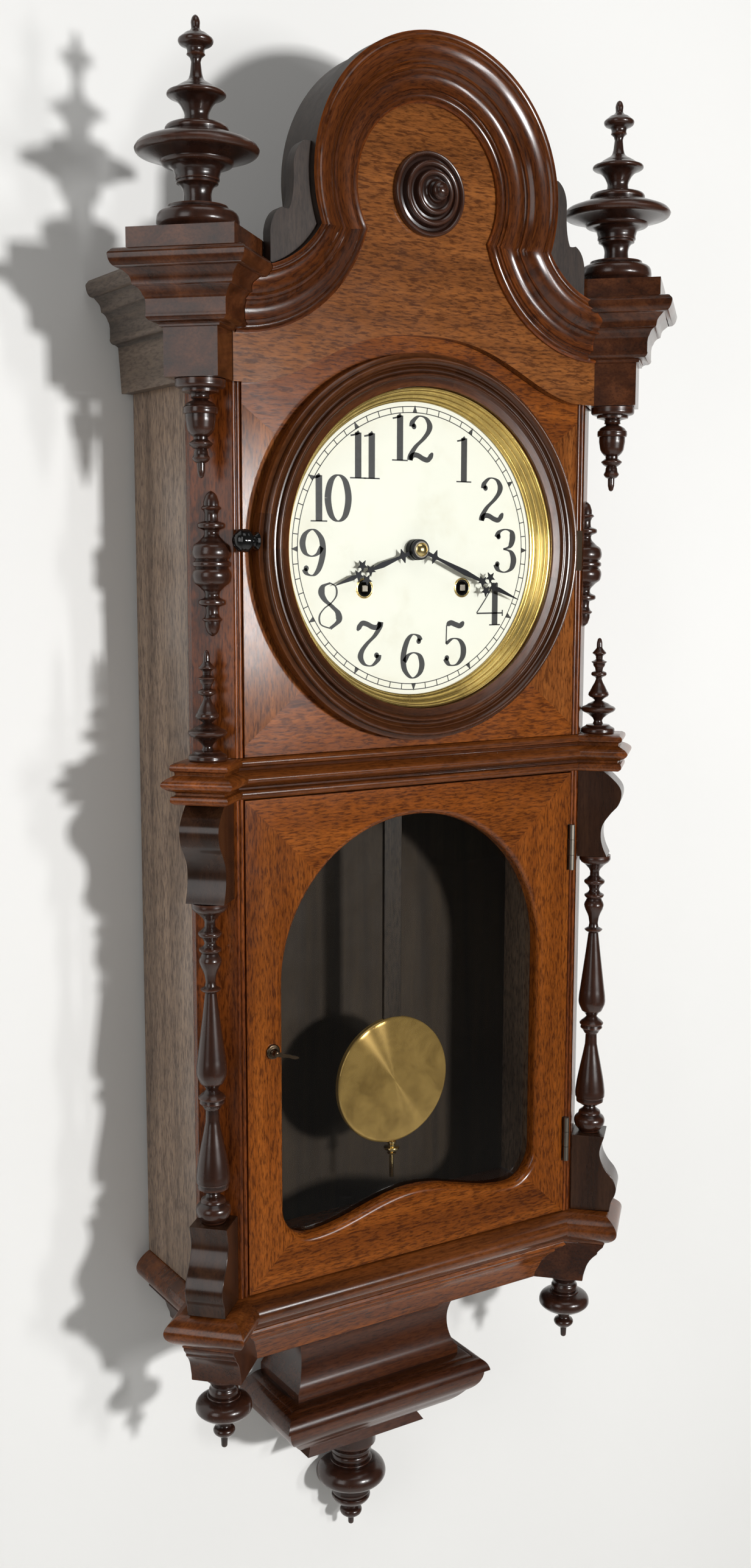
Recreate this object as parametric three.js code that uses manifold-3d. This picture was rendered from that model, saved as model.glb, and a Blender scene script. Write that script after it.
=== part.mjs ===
// A hanging regulator wall clock: a canted walnut case with turned ornament, a round hinged bezel
// over the dial, a glazed lower door, and a pendulum in front of an eight day movement.
// Millimetres, +Z up. The origin lies on the wall, behind the centre of the dial; the front faces -Y.
import * as THREE from 'three';
import { mergeVertices } from 'three/addons/utils/BufferGeometryUtils.js';
import Module from 'manifold-3d';

const wasm = await Module();
wasm.setup();

// Clearances
const fit = 0.3; // between pieces that are glued, screwed or laid together
const runningFit = 0.4; // between an arbor and its hole

// Case
const halfWidth = 158.5;
const depth = 103;
const cant = 19.5; // leg of the 45 degree cut on each front corner
const postFace = 6.2; // width of each post's front face
const postGap = 0.6; // between a post and the door
const panelHalf = halfWidth - cant - postFace - postGap; // half width of the door and of the dial panel
const postReturn = 5; // of the posts behind the cant
const postDepth = 12;
const boardThickness = 12;
const backThickness = 8;
const frontThickness = 6.5; // of the dial panel
const topThickness = 11;

// Dial and round bezel
const bezelMargin = 6.2; // from the bezel to the edge of the dial panel
const bezelWidth = 21;
const bezelRadius = panelHalf - bezelMargin;
const bezelBore = bezelRadius - bezelWidth;
const panelHole = bezelBore + 1;
const bezelToBelt = 5.2;
const dialRadius = bezelBore + 5;
const dialThickness = 1;
const windingX = 39.2;
const windingZ = -25.4;
const windingHole = 5;
const centreHole = 4.8;
const knobRadius = 7;
const knobAngle = 178;

// Belt, door and base, going down
const beltHeight = 26;
const beltNotch = 3; // depth that the belt is let into the posts
const doorGap = 1.4;
const doorHeight = 331.8;
const doorThickness = 16;
const stileWidth = 27.2;
const doorOpening = panelHalf - stileWidth; // half width
const doorTopRail = 19.7;
const doorBottomRail = 30.9; // at its lowest point
const humpRise = 15.2;
const lightCorner = 22; // radius of the lower corners of the door's opening
const humpHalf = doorOpening - lightCorner;
const rebate = 5; // of the glass behind the edge of the opening
const easing = 3; // of the opening's front edge
const easingDepth = 2;
const glassInset = 9;
const glassThickness = 2;
const baseGap = 1.1;
const baseHeight = 24;
const apronHeight = 30.2;

// Top corner blocks, cornice and pediment
const blockHalf = 16.8;
const blockAxis = 18; // from the canted face to the axis of block, finial and pendant
const blockOverlap = 25.7; // from the top of the bezel down to the underside of the corner blocks
const blockRise = bezelRadius - blockOverlap;
const friezeHeight = 28.5;
const corniceHeight = 42.7;
const corniceProjection = 24.4;
const plinthHeight = 11.9;
const plinthHalf = 32.9;
const friezeProjection = 7.9;
const boardFront = 6.7; // pediment board, in front of the dial panel
const archMargin = 46.6; // from the outer edge of the arch to the centre of each side sweep
const archBand = 39.5;
const sweepBand = 36.9;
const mitreOverlap = 14;
const sweepInset = 18.5; // from the side of the case to the centre of the side sweeps
const mouldingDepth = 19.4;
const backingDepth = 17;
const archDepth = 28; // of the backing above the case, from the board's front
const boardDrop = 36.7; // of the pediment board's lower edge from the middle to the sides
const rosetteRadius = 26.5;
const rosetteDrop = 1.3; // from the centre of the arch down to the middle of the rosette
const fretThickness = 9.3;
const fretBack = 2; // from the face of the pediment board to the back of the frets
const fretTop = 17; // above the centre of the arch
const fretInset = 37.5; // from the side of the case to the tip of the fret

// Turned and cut ornament
const finialHeight = 123.6;
const finialRadius = 36.9;
const pendantHeight = 58.1;
const pendantRadius = 15.2;
const spindleHeight = 89.6;
const spindleRadius = 12;
const spindleTop = 65.1; // from the underside of the corner block down to its tip
const smallFinialHeight = 68.7;
const smallFinialRadius = 12.5;
const columnAxis = 12.4; // from the canted face
const columnRadius = 11.5;
const upperBracketHeight = 63.3;
const lowerBracketHeight = 58.1;
const bracketHalf = 12.7;
const beltBlockHalf = 15;
const beltBlockFront = 27.4;
const baseBlockHalf = 17.2;
const baseBlockFront = 26.6;
const cornerDropHeight = 53.7;
const cornerDropRadius = 19;
const cornerDropAxis = -4;
const footHalf = 69.7;
const footDepth = 57.1;
const footHeight = 118.7;
const centreDropHeight = 82.1;
const centreDropRadius = 26.8;
const centreDropAxis = 15; // from the wall

// Hands, pendulum and movement
const minuteLength = bezelBore - 17;
const hourLength = 0.75 * minuteLength;
const handThickness = 1;
const hourAngle = 250;
const minuteAngle = 112.5;
const plateHalf = 62;
const plateBottom = -58;
const plateTop = 86;
const plateThickness = 2;
const backPlateY = -28;
const frontPlateY = -60;
const suspensionHeight = 74;
const pendulumY = -71;
const pendulumLength = 450; // from the suspension to the middle of the bob
const bobRadius = 44.5;
const bobThickness = 22;
const studRadius = 2;
const arborRadius = 2.2;
const escapeHeight = 50;
const escapeRadius = 15;
const greatWheelRadius = 22;
const gongRadius = 42;
const gongHeight = -98;

// Hinges and latch
const barrelRadius = 2.2;
const leafThickness = 1.2;
const leafWidth = 12;
const hingeHeight = 33;
const upperHingeDrop = 54.4; // from the door's top edge to the middle of the hinge
const lowerHingeRise = 56.7; // from the door's bottom edge to the middle of the hinge
const bezelBarrel = 1.7;
const bezelHingeHeight = 28;
const latchInset = 18.6; // from the door's left edge
const latchHeight = -326;
const latchReach = 23;
const latchSpindle = 2;

// Levels and lines that follow from the sizes above
const bezelBottom = -bezelRadius;
const beltTop = bezelBottom - bezelToBelt;
const beltBottom = beltTop - beltHeight;
const doorTop = beltBottom - doorGap;
const doorBottom = doorTop - doorHeight;
const baseTop = doorBottom - baseGap;
const baseBottom = baseTop - baseHeight;
const apronTop = baseBottom - fit;
const apronBottom = apronTop - apronHeight;
const friezeTop = blockRise + friezeHeight;
const caseTop = friezeTop + corniceHeight - fit - 0.2;
const plinthTop = friezeTop + corniceHeight + plinthHeight;
const sweepX = halfWidth - sweepInset;
const archRadius = sweepX - archMargin;
const sweepRadius = archMargin + mitreOverlap;
const archHeight = friezeTop + sweepRadius + sweepBand;
const cantFace = cant / Math.SQRT2; // half width of the canted face
const cornerX = halfWidth - cant / 2;
const cornerY = -depth + cant / 2;
const frontY = -depth;
const boardY = frontY - boardFront;
const postInner = panelHalf + postGap;
const innerSide = halfWidth - boardThickness;
const panelFront = frontY + cant + postReturn + fit; // of the side panels
const doorBack = frontY + doorThickness;
const dialY = frontY + frontThickness + fit;

// Finishes
const finish = (color, roughness, metalness = 0) => ({ color, roughness, metalness });
const finishes = {
  veneer: finish(0x8a4a20, 0.4),
  moulding: finish(0x4a2114, 0.25),
  turned: finish(0x1f100b, 0.2),
  panel: finish(0x4f3428, 0.45),
  inside: finish(0x2a211b, 0.7),
  brass: finish(0xb08d3f, 0.3, 1),
  steel: finish(0x70706c, 0.4, 1),
  blackSteel: finish(0x1a1a1c, 0.35, 1),
  blackKnob: finish(0x0b0b0c, 0.15),
  dial: finish(0xf1ecd2, 0.6),
  glass: finish(0xdfe8ea, 0.05),
};

const clock = new THREE.Group();

// Geometry helpers

// Welds a geometry, drops faces without area and turns the faces outward
function weld(source) {
  const bare = source.index ? source.toNonIndexed() : source.clone();
  for (const key of Object.keys(bare.attributes)) {
    if (key !== 'position') {
      bare.deleteAttribute(key);
    }
  }
  const merged = mergeVertices(bare, 1e-4);
  const at = merged.attributes.position;
  const index = merged.index.array;
  const kept = [];
  const a = new THREE.Vector3();
  const b = new THREE.Vector3();
  const c = new THREE.Vector3();
  let volume = 0;
  for (let i = 0; i < index.length; i += 3) {
    const [p, q, r] = [index[i], index[i + 1], index[i + 2]];
    if (p === q || q === r || r === p) {
      continue;
    }
    a.fromBufferAttribute(at, p);
    b.fromBufferAttribute(at, q);
    c.fromBufferAttribute(at, r);
    volume += a.dot(b.cross(c));
    kept.push([p, q, r]);
  }
  if (volume < 0) {
    kept.forEach((face) => face.reverse());
  }
  merged.setIndex(kept.flat());
  return merged;
}

const toSolid = (geometry) => {
  const welded = weld(geometry);
  return new wasm.Manifold(new wasm.Mesh({
    numProp: 3,
    vertProperties: new Float32Array(welded.attributes.position.array),
    triVerts: new Uint32Array(welded.index.array),
  }));
};

function toGeometry(solid) {
  const mesh = solid.getMesh();
  const geometry = new THREE.BufferGeometry();
  geometry.setAttribute('position', new THREE.BufferAttribute(mesh.vertProperties.slice(), 3));
  geometry.setIndex([...mesh.triVerts]);
  return geometry;
}

const cut = (geometry, ...cutters) => toGeometry(
  cutters.reduce((solid, cutter) => solid.subtract(toSolid(cutter)), toSolid(geometry)),
);

const join = (geometry, ...others) => toGeometry(
  others.reduce((solid, other) => solid.add(toSolid(other)), toSolid(geometry)),
);

const mirrored = (geometry, axis = 'x') => {
  const copy = geometry.clone();
  copy.scale(axis === 'x' ? -1 : 1, axis === 'y' ? -1 : 1, 1);
  return weld(copy);
};

function add(name, geometry, look, parent = clock) {
  const mesh = new THREE.Mesh(weld(geometry), new THREE.MeshStandardMaterial(finishes[look]));
  mesh.name = name;
  parent.add(mesh);
  return mesh;
}

// Axis aligned box between two corners
function block(x0, x1, y0, y1, z0, z1) {
  const box = new THREE.BoxGeometry(Math.abs(x1 - x0), Math.abs(y1 - y0), Math.abs(z1 - z0));
  return box.translate((x0 + x1) / 2, (y0 + y1) / 2, (z0 + z1) / 2);
}

// Round bar along Y between two depths
function rodY(radius, y0, y1, x = 0, z = 0, segments = 12) {
  const bar = new THREE.CylinderGeometry(radius, radius, Math.abs(y1 - y0), segments);
  return bar.translate(x, (y0 + y1) / 2, z);
}

// Round bar along Z between two heights
function rodZ(radius, z0, z1, x = 0, y = 0, segments = 12) {
  const bar = new THREE.CylinderGeometry(radius, radius, Math.abs(z1 - z0), segments);
  return bar.rotateX(Math.PI / 2).translate(x, y, (z0 + z1) / 2);
}

// An outline of [a, b] corners; a third value bulges the stretch that leads to the corner into an
// arc of that rise, to the right of the way it goes
function outline(points, steps = 2) {
  const line = [];
  points.forEach(([a, b, rise], i) => {
    if (rise) {
      const [a0, b0] = points[i - 1];
      const chord = Math.hypot(a - a0, b - b0);
      const right = [(b - b0) / chord, -(a - a0) / chord];
      for (let k = 1; k < steps; k += 1) {
        const t = k / steps;
        const out = 4 * rise * t * (1 - t);
        line.push([a0 + (a - a0) * t + right[0] * out, b0 + (b - b0) * t + right[1] * out]);
      }
    }
    line.push([a, b]);
  });
  return line;
}

// A turned piece standing on its lower end; its drawn profile is stretched to a height and radius
function turned(profile, height, radius, segments) {
  const line = outline(profile);
  const tall = Math.max(...line.map((p) => p[1]));
  const wide = Math.max(...line.map((p) => p[0]));
  const points = line.map(([r, z]) => new THREE.Vector2(r / wide * radius, z / tall * height));
  return new THREE.LatheGeometry(points, segments).rotateX(Math.PI / 2);
}

// A ring or disc turned about the Y axis, from a closed [radius, y] section
function turnedY(section, segments = 48) {
  const points = section.map(([r, y]) => new THREE.Vector2(r, y));
  return new THREE.LatheGeometry([...points, points[0]], segments);
}

// A flat shape in X and Z, given thickness from y0 to y1
function plate(shape, y0, y1, curveSegments = 8) {
  const thick = Math.abs(y1 - y0);
  const solid = new THREE.ExtrudeGeometry(shape, { depth: thick, bevelEnabled: false, curveSegments });
  return solid.rotateX(Math.PI / 2).translate(0, Math.max(y0, y1), 0);
}

// A plan outline in X and Y, given height from z0 to z1
function slab(points, z0, z1) {
  const shape = new THREE.Shape(points.map(([x, y]) => new THREE.Vector2(x, y)));
  const solid = new THREE.ExtrudeGeometry(shape, { depth: z1 - z0, bevelEnabled: false });
  return solid.translate(0, 0, z0);
}

// Triangles that fill an outline of corners, wound the way the outline runs
function fill(corners) {
  const area = THREE.ShapeUtils.area(corners);
  return THREE.ShapeUtils.triangulateShape(corners, []).map((face) => {
    const turn = THREE.ShapeUtils.area(face.map((i) => corners[i]));
    return turn * area > 0 ? face : [face[0], face[2], face[1]];
  });
}

// A moulded stack: a plan outline whose edges each move outward by their own amount at each level
function stack(plan, levels) {
  const count = plan.length;
  const edges = plan.map((p, i) => {
    const q = plan[(i + 1) % count];
    const length = Math.hypot(q[0] - p[0], q[1] - p[1]);
    return { p, along: [(q[0] - p[0]) / length, (q[1] - p[1]) / length] };
  });
  const area = plan.reduce((sum, p, i) => {
    const q = plan[(i + 1) % count];
    return sum + p[0] * q[1] - q[0] * p[1];
  }, 0);
  const turn = Math.sign(area);
  const position = [];
  levels.forEach(({ z, out }) => {
    const lines = edges.map(({ p, along }, i) => {
      const move = out(i) * turn;
      return { p: [p[0] + along[1] * move, p[1] - along[0] * move], along };
    });
    lines.forEach((line, i) => {
      const before = lines[(i + count - 1) % count];
      const cross = before.along[0] * line.along[1] - before.along[1] * line.along[0];
      const dx = line.p[0] - before.p[0];
      const dy = line.p[1] - before.p[1];
      const t = (dx * line.along[1] - dy * line.along[0]) / cross;
      position.push(before.p[0] + before.along[0] * t, before.p[1] + before.along[1] * t, z);
    });
  });
  const index = [];
  for (let row = 0; row + 1 < levels.length; row += 1) {
    for (let i = 0; i < count; i += 1) {
      const j = (i + 1) % count;
      const [a, b] = [row * count + i, row * count + j];
      index.push(a, b, b + count, a, b + count, a + count);
    }
  }
  const ring = (row) => {
    const corners = [];
    for (let i = 0; i < count; i += 1) {
      const k = (row * count + i) * 3;
      corners.push(new THREE.Vector2(position[k], position[k + 1]));
    }
    return fill(corners);
  };
  const top = (levels.length - 1) * count;
  ring(0).forEach(([a, b, c]) => index.push(a, c, b));
  ring(levels.length - 1).forEach(([a, b, c]) => index.push(top + a, top + b, top + c));
  const geometry = new THREE.BufferGeometry();
  geometry.setAttribute('position', new THREE.BufferAttribute(new Float32Array(position), 3));
  geometry.setIndex(index);
  return turn > 0 ? geometry : weld(geometry);
}

// Corner frame: out from the middle of the left canted face, and along it towards the front
const half = Math.SQRT1_2;
const atCorner = (out, front) => [-cornerX + (front - out) * half, cornerY - (front + out) * half];
const inCorner = (x, y) => {
  const across = (x + cornerX) * half;
  const back = (y - cornerY) * half;
  return [-across - back, across - back];
};

// Each corner's group has +X out of the canted face
const corners = [-1, 1].map((side) => {
  const group = new THREE.Group();
  group.position.set(side * cornerX, cornerY, 0);
  group.rotation.z = side < 0 ? -3 * Math.PI / 4 : -Math.PI / 4;
  clock.add(group);
  return group;
});

// Adds one piece to both corners, mirrored where its two sides differ
function addCorners(name, geometry, look, out, z) {
  const shapes = [geometry, mirrored(geometry, 'y')];
  ['l', 'r'].forEach((side, i) => {
    const mesh = add(`${name}_${side}`, shapes[i], look, corners[i]);
    mesh.position.set(out, 0, z);
  });
}

function addPair(name, geometry, look) {
  add(`${name}_l`, geometry, look);
  add(`${name}_r`, mirrored(geometry), look);
}

// Plan outline that is closed by its own mirror image across the clock's middle
const bothSides = (left) => [...left, ...left.map(([x, y]) => [-x, y]).reverse()];

// Case

function postPlan() {
  return [
    [-postInner, frontY],
    [-halfWidth + cant, frontY],
    [-halfWidth, frontY + cant],
    [-halfWidth, frontY + cant + postReturn],
    [-innerSide, frontY + cant + postReturn],
    [-postInner, frontY + postDepth],
  ];
}

function buildCase() {
  const floor = baseTop + fit;
  const back = block(-innerSide + fit, innerSide - fit, 0, -backThickness, floor, caseTop);
  add('back_board', back, 'inside');
  addPair('side_panel', block(-halfWidth, -innerSide, 0, panelFront, floor, caseTop), 'panel');
  const topBack = -backThickness - fit;
  const topPlan = bothSides([
    [-innerSide + fit, topBack],
    [-innerSide + fit, panelFront],
    [-postInner + fit, frontY + postDepth],
  ]);
  add('case_top', slab(topPlan, caseTop - topThickness, caseTop), 'inside');
}

function buildPosts() {
  const post = slab(postPlan(), baseTop + fit, caseTop);
  const notch = block(-halfWidth, 0, frontY - 1, frontY + beltNotch + fit, beltBottom - fit, beltTop + fit);
  const left = cut(post, notch);
  add('corner_post_l', left, 'veneer');
  const leafSpace = mortises(postInner - 1, postInner + leafThickness + fit);
  add('corner_post_r', cut(mirrored(left), ...leafSpace), 'veneer');
}

// Mortises for the door's hinge leaves, in the right post and in the door's right edge
const hingeLevels = [doorTop - upperHingeDrop, doorBottom + lowerHingeRise];
const hingeX = (panelHalf + postInner) / 2;
const hingeY = frontY - barrelRadius - fit;
const mortises = (x0, x1) => hingeLevels.map((z) => block(
  x0, x1, frontY - 1, hingeY + leafWidth + fit, z - hingeHeight / 2 - fit, z + hingeHeight / 2 + fit,
));

// Belt rail with its moulding, stepping round the corner blocks
function buildBelt() {
  const frontMeet = cantFace - beltBlockHalf;
  const plan = bothSides([
    [-panelHalf + fit, frontY + frontThickness],
    [-panelHalf + fit, frontY + beltNotch],
    atCorner(fit, cantFace - beltNotch * Math.SQRT2 - fit),
    atCorner(fit, -beltBlockHalf),
    atCorner(beltBlockFront, -beltBlockHalf),
    atCorner(beltBlockFront, beltBlockHalf),
    atCorner(frontMeet, beltBlockHalf),
  ]);
  const moulded = [3, 4, 5, 6, 7, 8, 9];
  const section = [
    [0, 1.5], [1.5, 3.4], [4.2, 3.8], [6.2, 1.4], [7.8, 1.2],
    [9.2, 6], [13, 8.3], [16.8, 6.4], [18.8, 1], [20.4, 1.4], [22, 3.6], [24.4, 3.8], [26, 1.6],
  ];
  const levels = section.map(([drop, p]) => ({
    z: beltTop - drop / 26 * beltHeight,
    out: (i) => (moulded.includes(i) ? p : 0),
  }));
  add('belt_moulding', stack(plan, levels.reverse()), 'moulding');
}

// Base: a board with a torus edge, and an apron that draws in under it between corner corbels
function basePlan() {
  const meet = cantFace - baseBlockHalf;
  return bothSides([
    [-halfWidth, 0],
    atCorner(meet, -baseBlockHalf),
    atCorner(baseBlockFront, -baseBlockHalf),
    atCorner(baseBlockFront, baseBlockHalf),
    atCorner(meet, baseBlockHalf),
  ]);
}

function buildBase() {
  const plan = basePlan();
  const backEdge = plan.length - 1;
  const torus = [
    [0, 0], [3, 0.4], [4.5, 5], [7.5, 8.8], [11.8, 10], [16, 8.8], [19.5, 5], [21, 0.8], [24, 0.4],
  ];
  const board = torus.map(([drop, p]) => ({
    z: baseTop - drop / 24 * baseHeight,
    out: (i) => (i === backEdge ? 0 : p),
  }));
  add('base_board', stack(plan, board.reverse()), 'moulding');
  const ogee = [
    [0, 0, 0], [2, 0.8, -0.6], [4.4, -1.5, -3], [6.2, -4.6, -4.6], [9, -6, -6.2],
    [14.2, -8.6, -8.6], [21.2, -13, -13.6], [26, -15, -15], [30.2, -15.5, -15.4],
  ];
  const apron = ogee.map(([drop, p, corbel]) => ({
    z: apronTop - drop / 30.2 * apronHeight,
    out: (i) => {
      if (i === backEdge || [1, 3, 5, 7].includes(i)) {
        return 0;
      }
      return [2, 6].includes(i) ? corbel : p;
    },
  }));
  add('base_apron', stack(plan, apron.reverse()), 'veneer');
}

// Bottom bracket between the apron and the centre drop
function buildFoot() {
  const plan = [[-footHalf, 0], [-footHalf, -footDepth], [footHalf, -footDepth], [footHalf, 0]];
  const section = [
    [0, 0], [14, 0], [19, -3.4], [27, -5.6], [35, -6], [43, -5.4], [52, -2.4], [55, 0], [60.7, 0],
    [62.7, 8.3], [66.7, 15.3], [71.4, 18.1], [72.2, 18.1], [72.9, 15], [81.7, 12], [90.7, 5],
    [97.7, -4], [103.7, -14], [109.4, -23], [109.8, -24], [118.7, -18.4],
  ];
  const levels = section.map(([drop, p]) => ({
    z: apronBottom - fit - drop / 118.7 * footHeight,
    out: (i) => (i === 3 ? 0 : p),
  }));
  add('bottom_bracket', stack(plan, levels.reverse()), 'veneer');
}

// Dial panel, dial and bezel

function buildDialPanel() {
  const shape = new THREE.Shape();
  const top = Math.min(friezeTop + 12.5, caseTop - topThickness - 1);
  shape.moveTo(-panelHalf, beltTop + fit);
  shape.lineTo(panelHalf, beltTop + fit);
  shape.lineTo(panelHalf, top);
  shape.lineTo(-panelHalf, top);
  const hole = new THREE.Path();
  hole.absarc(0, 0, panelHole, 0, 2 * Math.PI, true);
  shape.holes.push(hole);
  add('dial_panel', plate(shape, frontY, frontY + frontThickness, 24), 'veneer');
  return top;
}

function buildDial() {
  const shape = new THREE.Shape();
  shape.absarc(0, 0, dialRadius, 0, 2 * Math.PI, false);
  const holes = [[0, 0, centreHole], [-windingX, windingZ, windingHole], [windingX, windingZ, windingHole]];
  holes.forEach(([x, z, r]) => {
    const hole = new THREE.Path();
    hole.absarc(x, z, r, 0, 2 * Math.PI, true);
    shape.holes.push(hole);
  });
  add('dial', plate(shape, dialY, dialY + dialThickness, 12), 'dial');
}

const bezelHingeX = bezelRadius + 2.5;
const bezelHingeY = frontY - bezelBarrel - fit;
const tabHalf = 6;

function buildBezel() {
  const out = (p) => frontY - p;
  const scale = (r) => bezelBore + (r - 105) / 21 * (bezelRadius - bezelBore);
  const section = [
    [126, fit], [126, 9.5], [124, 10.5], [122.8, 13.2], [120.7, 14.5], [118.8, 13.4], [118, 12.2],
    [116.6, 10.2], [114.2, 9.6], [113.3, 12], [112, 13], [110.4, 11.9], [105, 10], [105, fit],
  ];
  const ring = turnedY(section.map(([r, p]) => [scale(r), out(p)]), 32);
  const slotFront = frontY - leafThickness - 2 * fit;
  const tabSlot = block(0, bezelHingeX, frontY, slotFront, -tabHalf - fit, tabHalf + fit);
  add('bezel_ring', cut(ring, tabSlot), 'moulding');
  const rim = bezelBore - fit;
  const sight = turnedY([
    [rim, out(6.6)], [rim, out(fit)], [rim - 7.1, dialY - 0.7], [rim - 8.2, dialY - 0.7],
    [rim - 8.2, dialY - 2], [rim - 3.3, out(2.6)], [rim - 3.3, out(3.8)], [rim - 1.2, out(3.8)],
    [rim - 1.2, out(6.6)],
  ], 32);
  const tabFront = frontY - fit - leafThickness;
  const tab = block(rim - 0.7, bezelHingeX, frontY - fit, tabFront, -tabHalf, tabHalf);
  const knuckle = rodZ(bezelBarrel, -tabHalf, tabHalf, bezelHingeX, bezelHingeY, 10);
  add('sight_ring', join(sight, tab, knuckle), 'brass');
  const pane = rodY(rim - 1.2 - fit, out(6), out(3.8 + fit), 0, 0, 32);
  add('bezel_glass', pane, 'glass');
  const leafReach = halfWidth - cant - 1.5;
  const high = bezelHingeHeight / 2;
  const leaf = block(bezelHingeX, leafReach, frontY - fit, tabFront, -high, high);
  const gap = block(bezelHingeX - 4, bezelHingeX + 3, frontY + 1, frontY - 8, -tabHalf - fit, tabHalf + fit);
  const barrel = rodZ(bezelBarrel, -high, high, bezelHingeX, bezelHingeY, 10);
  add('bezel_hinge', cut(join(leaf, barrel), gap), 'brass');
}

// Black knob on a short neck, at the bezel's left edge
function buildKnob() {
  const profile = [
    [0, 0], [5, 0], [5.6, 0.8], [4.4, 2], [3.2, 3.4], [5.6, 5.2], [7, 9.6, 0.5], [5.2, 14.2, 0.5],
    [0, 16.2, 0.8],
  ];
  const knob = turned(profile, 16.2 / 7 * knobRadius, knobRadius, 8);
  const mesh = add('bezel_knob', knob, 'blackKnob');
  const angle = THREE.MathUtils.degToRad(knobAngle);
  const start = bezelRadius + fit;
  mesh.rotation.y = Math.PI / 2 - angle;
  mesh.position.set(Math.cos(angle) * start, frontY - knobRadius - 1, Math.sin(angle) * start);
}

// Pediment

// Lower edge of the board: level at the sides, rising in a soft S to the middle
function boardEdge(x) {
  const reach = Math.min(Math.abs(x) / (panelHalf - 2.2), 1);
  return blockRise + boardDrop * (1 + Math.cos(Math.PI * reach ** 1.3)) / 2;
}

// Where the arch and the side sweep meet, for a line that lies w in from the outer edge
function mitre(w) {
  const arch = archRadius - w * archBand;
  const sweep = sweepRadius + w * sweepBand;
  const x = (sweepX ** 2 + arch ** 2 - sweep ** 2) / (2 * sweepX);
  return { arch, sweep, x, drop: Math.sqrt(arch ** 2 - x ** 2) };
}

// Outline points of the line that lies w in, from the left end over the arch to the right end
function crestLine(w, sweepSteps = 7, archSteps = 20) {
  const { arch, sweep, x, drop } = mitre(w);
  const sweepEnd = Math.atan2(-drop, sweepX - x);
  const archStart = Math.atan2(-drop, -x) + 2 * Math.PI;
  const line = [];
  for (let k = 0; k < sweepSteps; k += 1) {
    const a = -Math.PI / 2 + (sweepEnd + Math.PI / 2) * k / sweepSteps;
    line.push([-sweepX + sweep * Math.cos(a), archHeight + sweep * Math.sin(a)]);
  }
  const archSweep = 2 * archStart - Math.PI;
  for (let k = 0; k <= archSteps; k += 1) {
    const a = archStart - archSweep * k / archSteps;
    line.push([arch * Math.cos(a), archHeight + arch * Math.sin(a)]);
  }
  const right = line.slice(0, sweepSteps).map(([px, pz]) => [-px, pz]).reverse();
  return [...line, ...right];
}

function crestMoulding() {
  const section = [
    [0, 0], [0, 0.88], [0.05, 1], [0.13, 0.84], [0.2, 0.78], [0.3, 0.62], [0.48, 0.47],
    [0.6, 0.52], [0.7, 0.44], [0.8, 0.22], [0.86, 0.14], [1, 0.12], [1, 0],
  ];
  const rows = section.map(([w, p]) => {
    const y = boardY - fit - p * mouldingDepth;
    return crestLine(w).map(([x, z]) => [x, y, z]);
  });
  const columns = rows[0].length;
  const position = rows.flat(2);
  const index = [];
  rows.forEach((row, r) => {
    const next = (r + 1) % rows.length;
    for (let k = 0; k + 1 < columns; k += 1) {
      const [a, b] = [r * columns + k, next * columns + k];
      index.push(a, b, b + 1, a, b + 1, a + 1);
    }
  });
  const face = section.map(([w, p]) => new THREE.Vector2(w * archBand, p * mouldingDepth));
  fill(face).forEach(([a, b, c]) => {
    index.push(a * columns, c * columns, b * columns);
    const end = columns - 1;
    index.push(a * columns + end, b * columns + end, c * columns + end);
  });
  const geometry = new THREE.BufferGeometry();
  geometry.setAttribute('position', new THREE.BufferAttribute(new Float32Array(position), 3));
  geometry.setIndex(index);
  return geometry;
}

// Cornice profile shared by the caps of the corner blocks and the side cornices: [out, up] as drawn
const cornice = [
  [0, 0], [1.9, 0.2], [5.7, 2.9], [8, 5.7], [7.7, 10.3], [7.9, 14.1], [9, 17.3], [11.4, 20.1],
  [13.9, 22.6], [14.4, 25.6], [16.4, 28.7], [19, 31.4], [23.5, 34.5], [24.4, 37.4], [23.5, 39.9],
  [20.8, 42.2], [17.2, 42.7],
].map(([out, up]) => [out / 24.4 * corniceProjection, up / 42.7 * corniceHeight]);
const sideShrink = 0.96; // of the side cornice's projection
const sideDrop = 0.5; // of the side cornice below the caps

// Square column of the corner block, its cap and plinth, grown by a margin all round
function blockStack(margin = 0) {
  const plan = [[-1, -1], [1, -1], [1, 1], [-1, 1]]
    .map(([x, y]) => [blockAxis + x * blockHalf, y * blockHalf]);
  const level = (z, out) => ({ z, out: () => out + margin });
  const plinthOut = plinthHalf - blockHalf;
  return stack(plan, [
    level(blockRise - margin, 0),
    ...cornice.map(([out, up]) => level(friezeTop + up, out)),
    level(friezeTop + corniceHeight + 0.1, plinthOut),
    level(plinthTop + margin, plinthOut),
  ]);
}

// Space that case, pediment board and side frieze take up near the left corner
function caseCutter() {
  const boardLine = boardY - fit;
  const friezeLine = -halfWidth - friezeProjection - fit;
  const frontMeet = inCorner(0, boardLine)[0] + inCorner(0, boardLine)[1] - blockHalf;
  const sideMeet = blockHalf + inCorner(friezeLine, 0)[0] - inCorner(friezeLine, 0)[1];
  const plan = [
    [0, 0], [0, boardLine], atCorner(frontMeet, blockHalf), atCorner(fit, blockHalf),
    atCorner(fit, -blockHalf), atCorner(sideMeet - 2 * blockHalf, -blockHalf), [friezeLine, 0],
  ];
  return slab(plan, blockRise - 5, caseTop + fit);
}

const toLeftCorner = (geometry) => geometry.rotateZ(-3 * Math.PI / 4).translate(-cornerX, cornerY, 0);
const fromLeftCorner = (geometry) => geometry.translate(cornerX, -cornerY, 0).rotateZ(3 * Math.PI / 4);

function buildCornerBlocks() {
  addCorners('corner_block', cut(blockStack(), fromLeftCorner(caseCutter())), 'turned', 0, 0);
}

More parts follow.
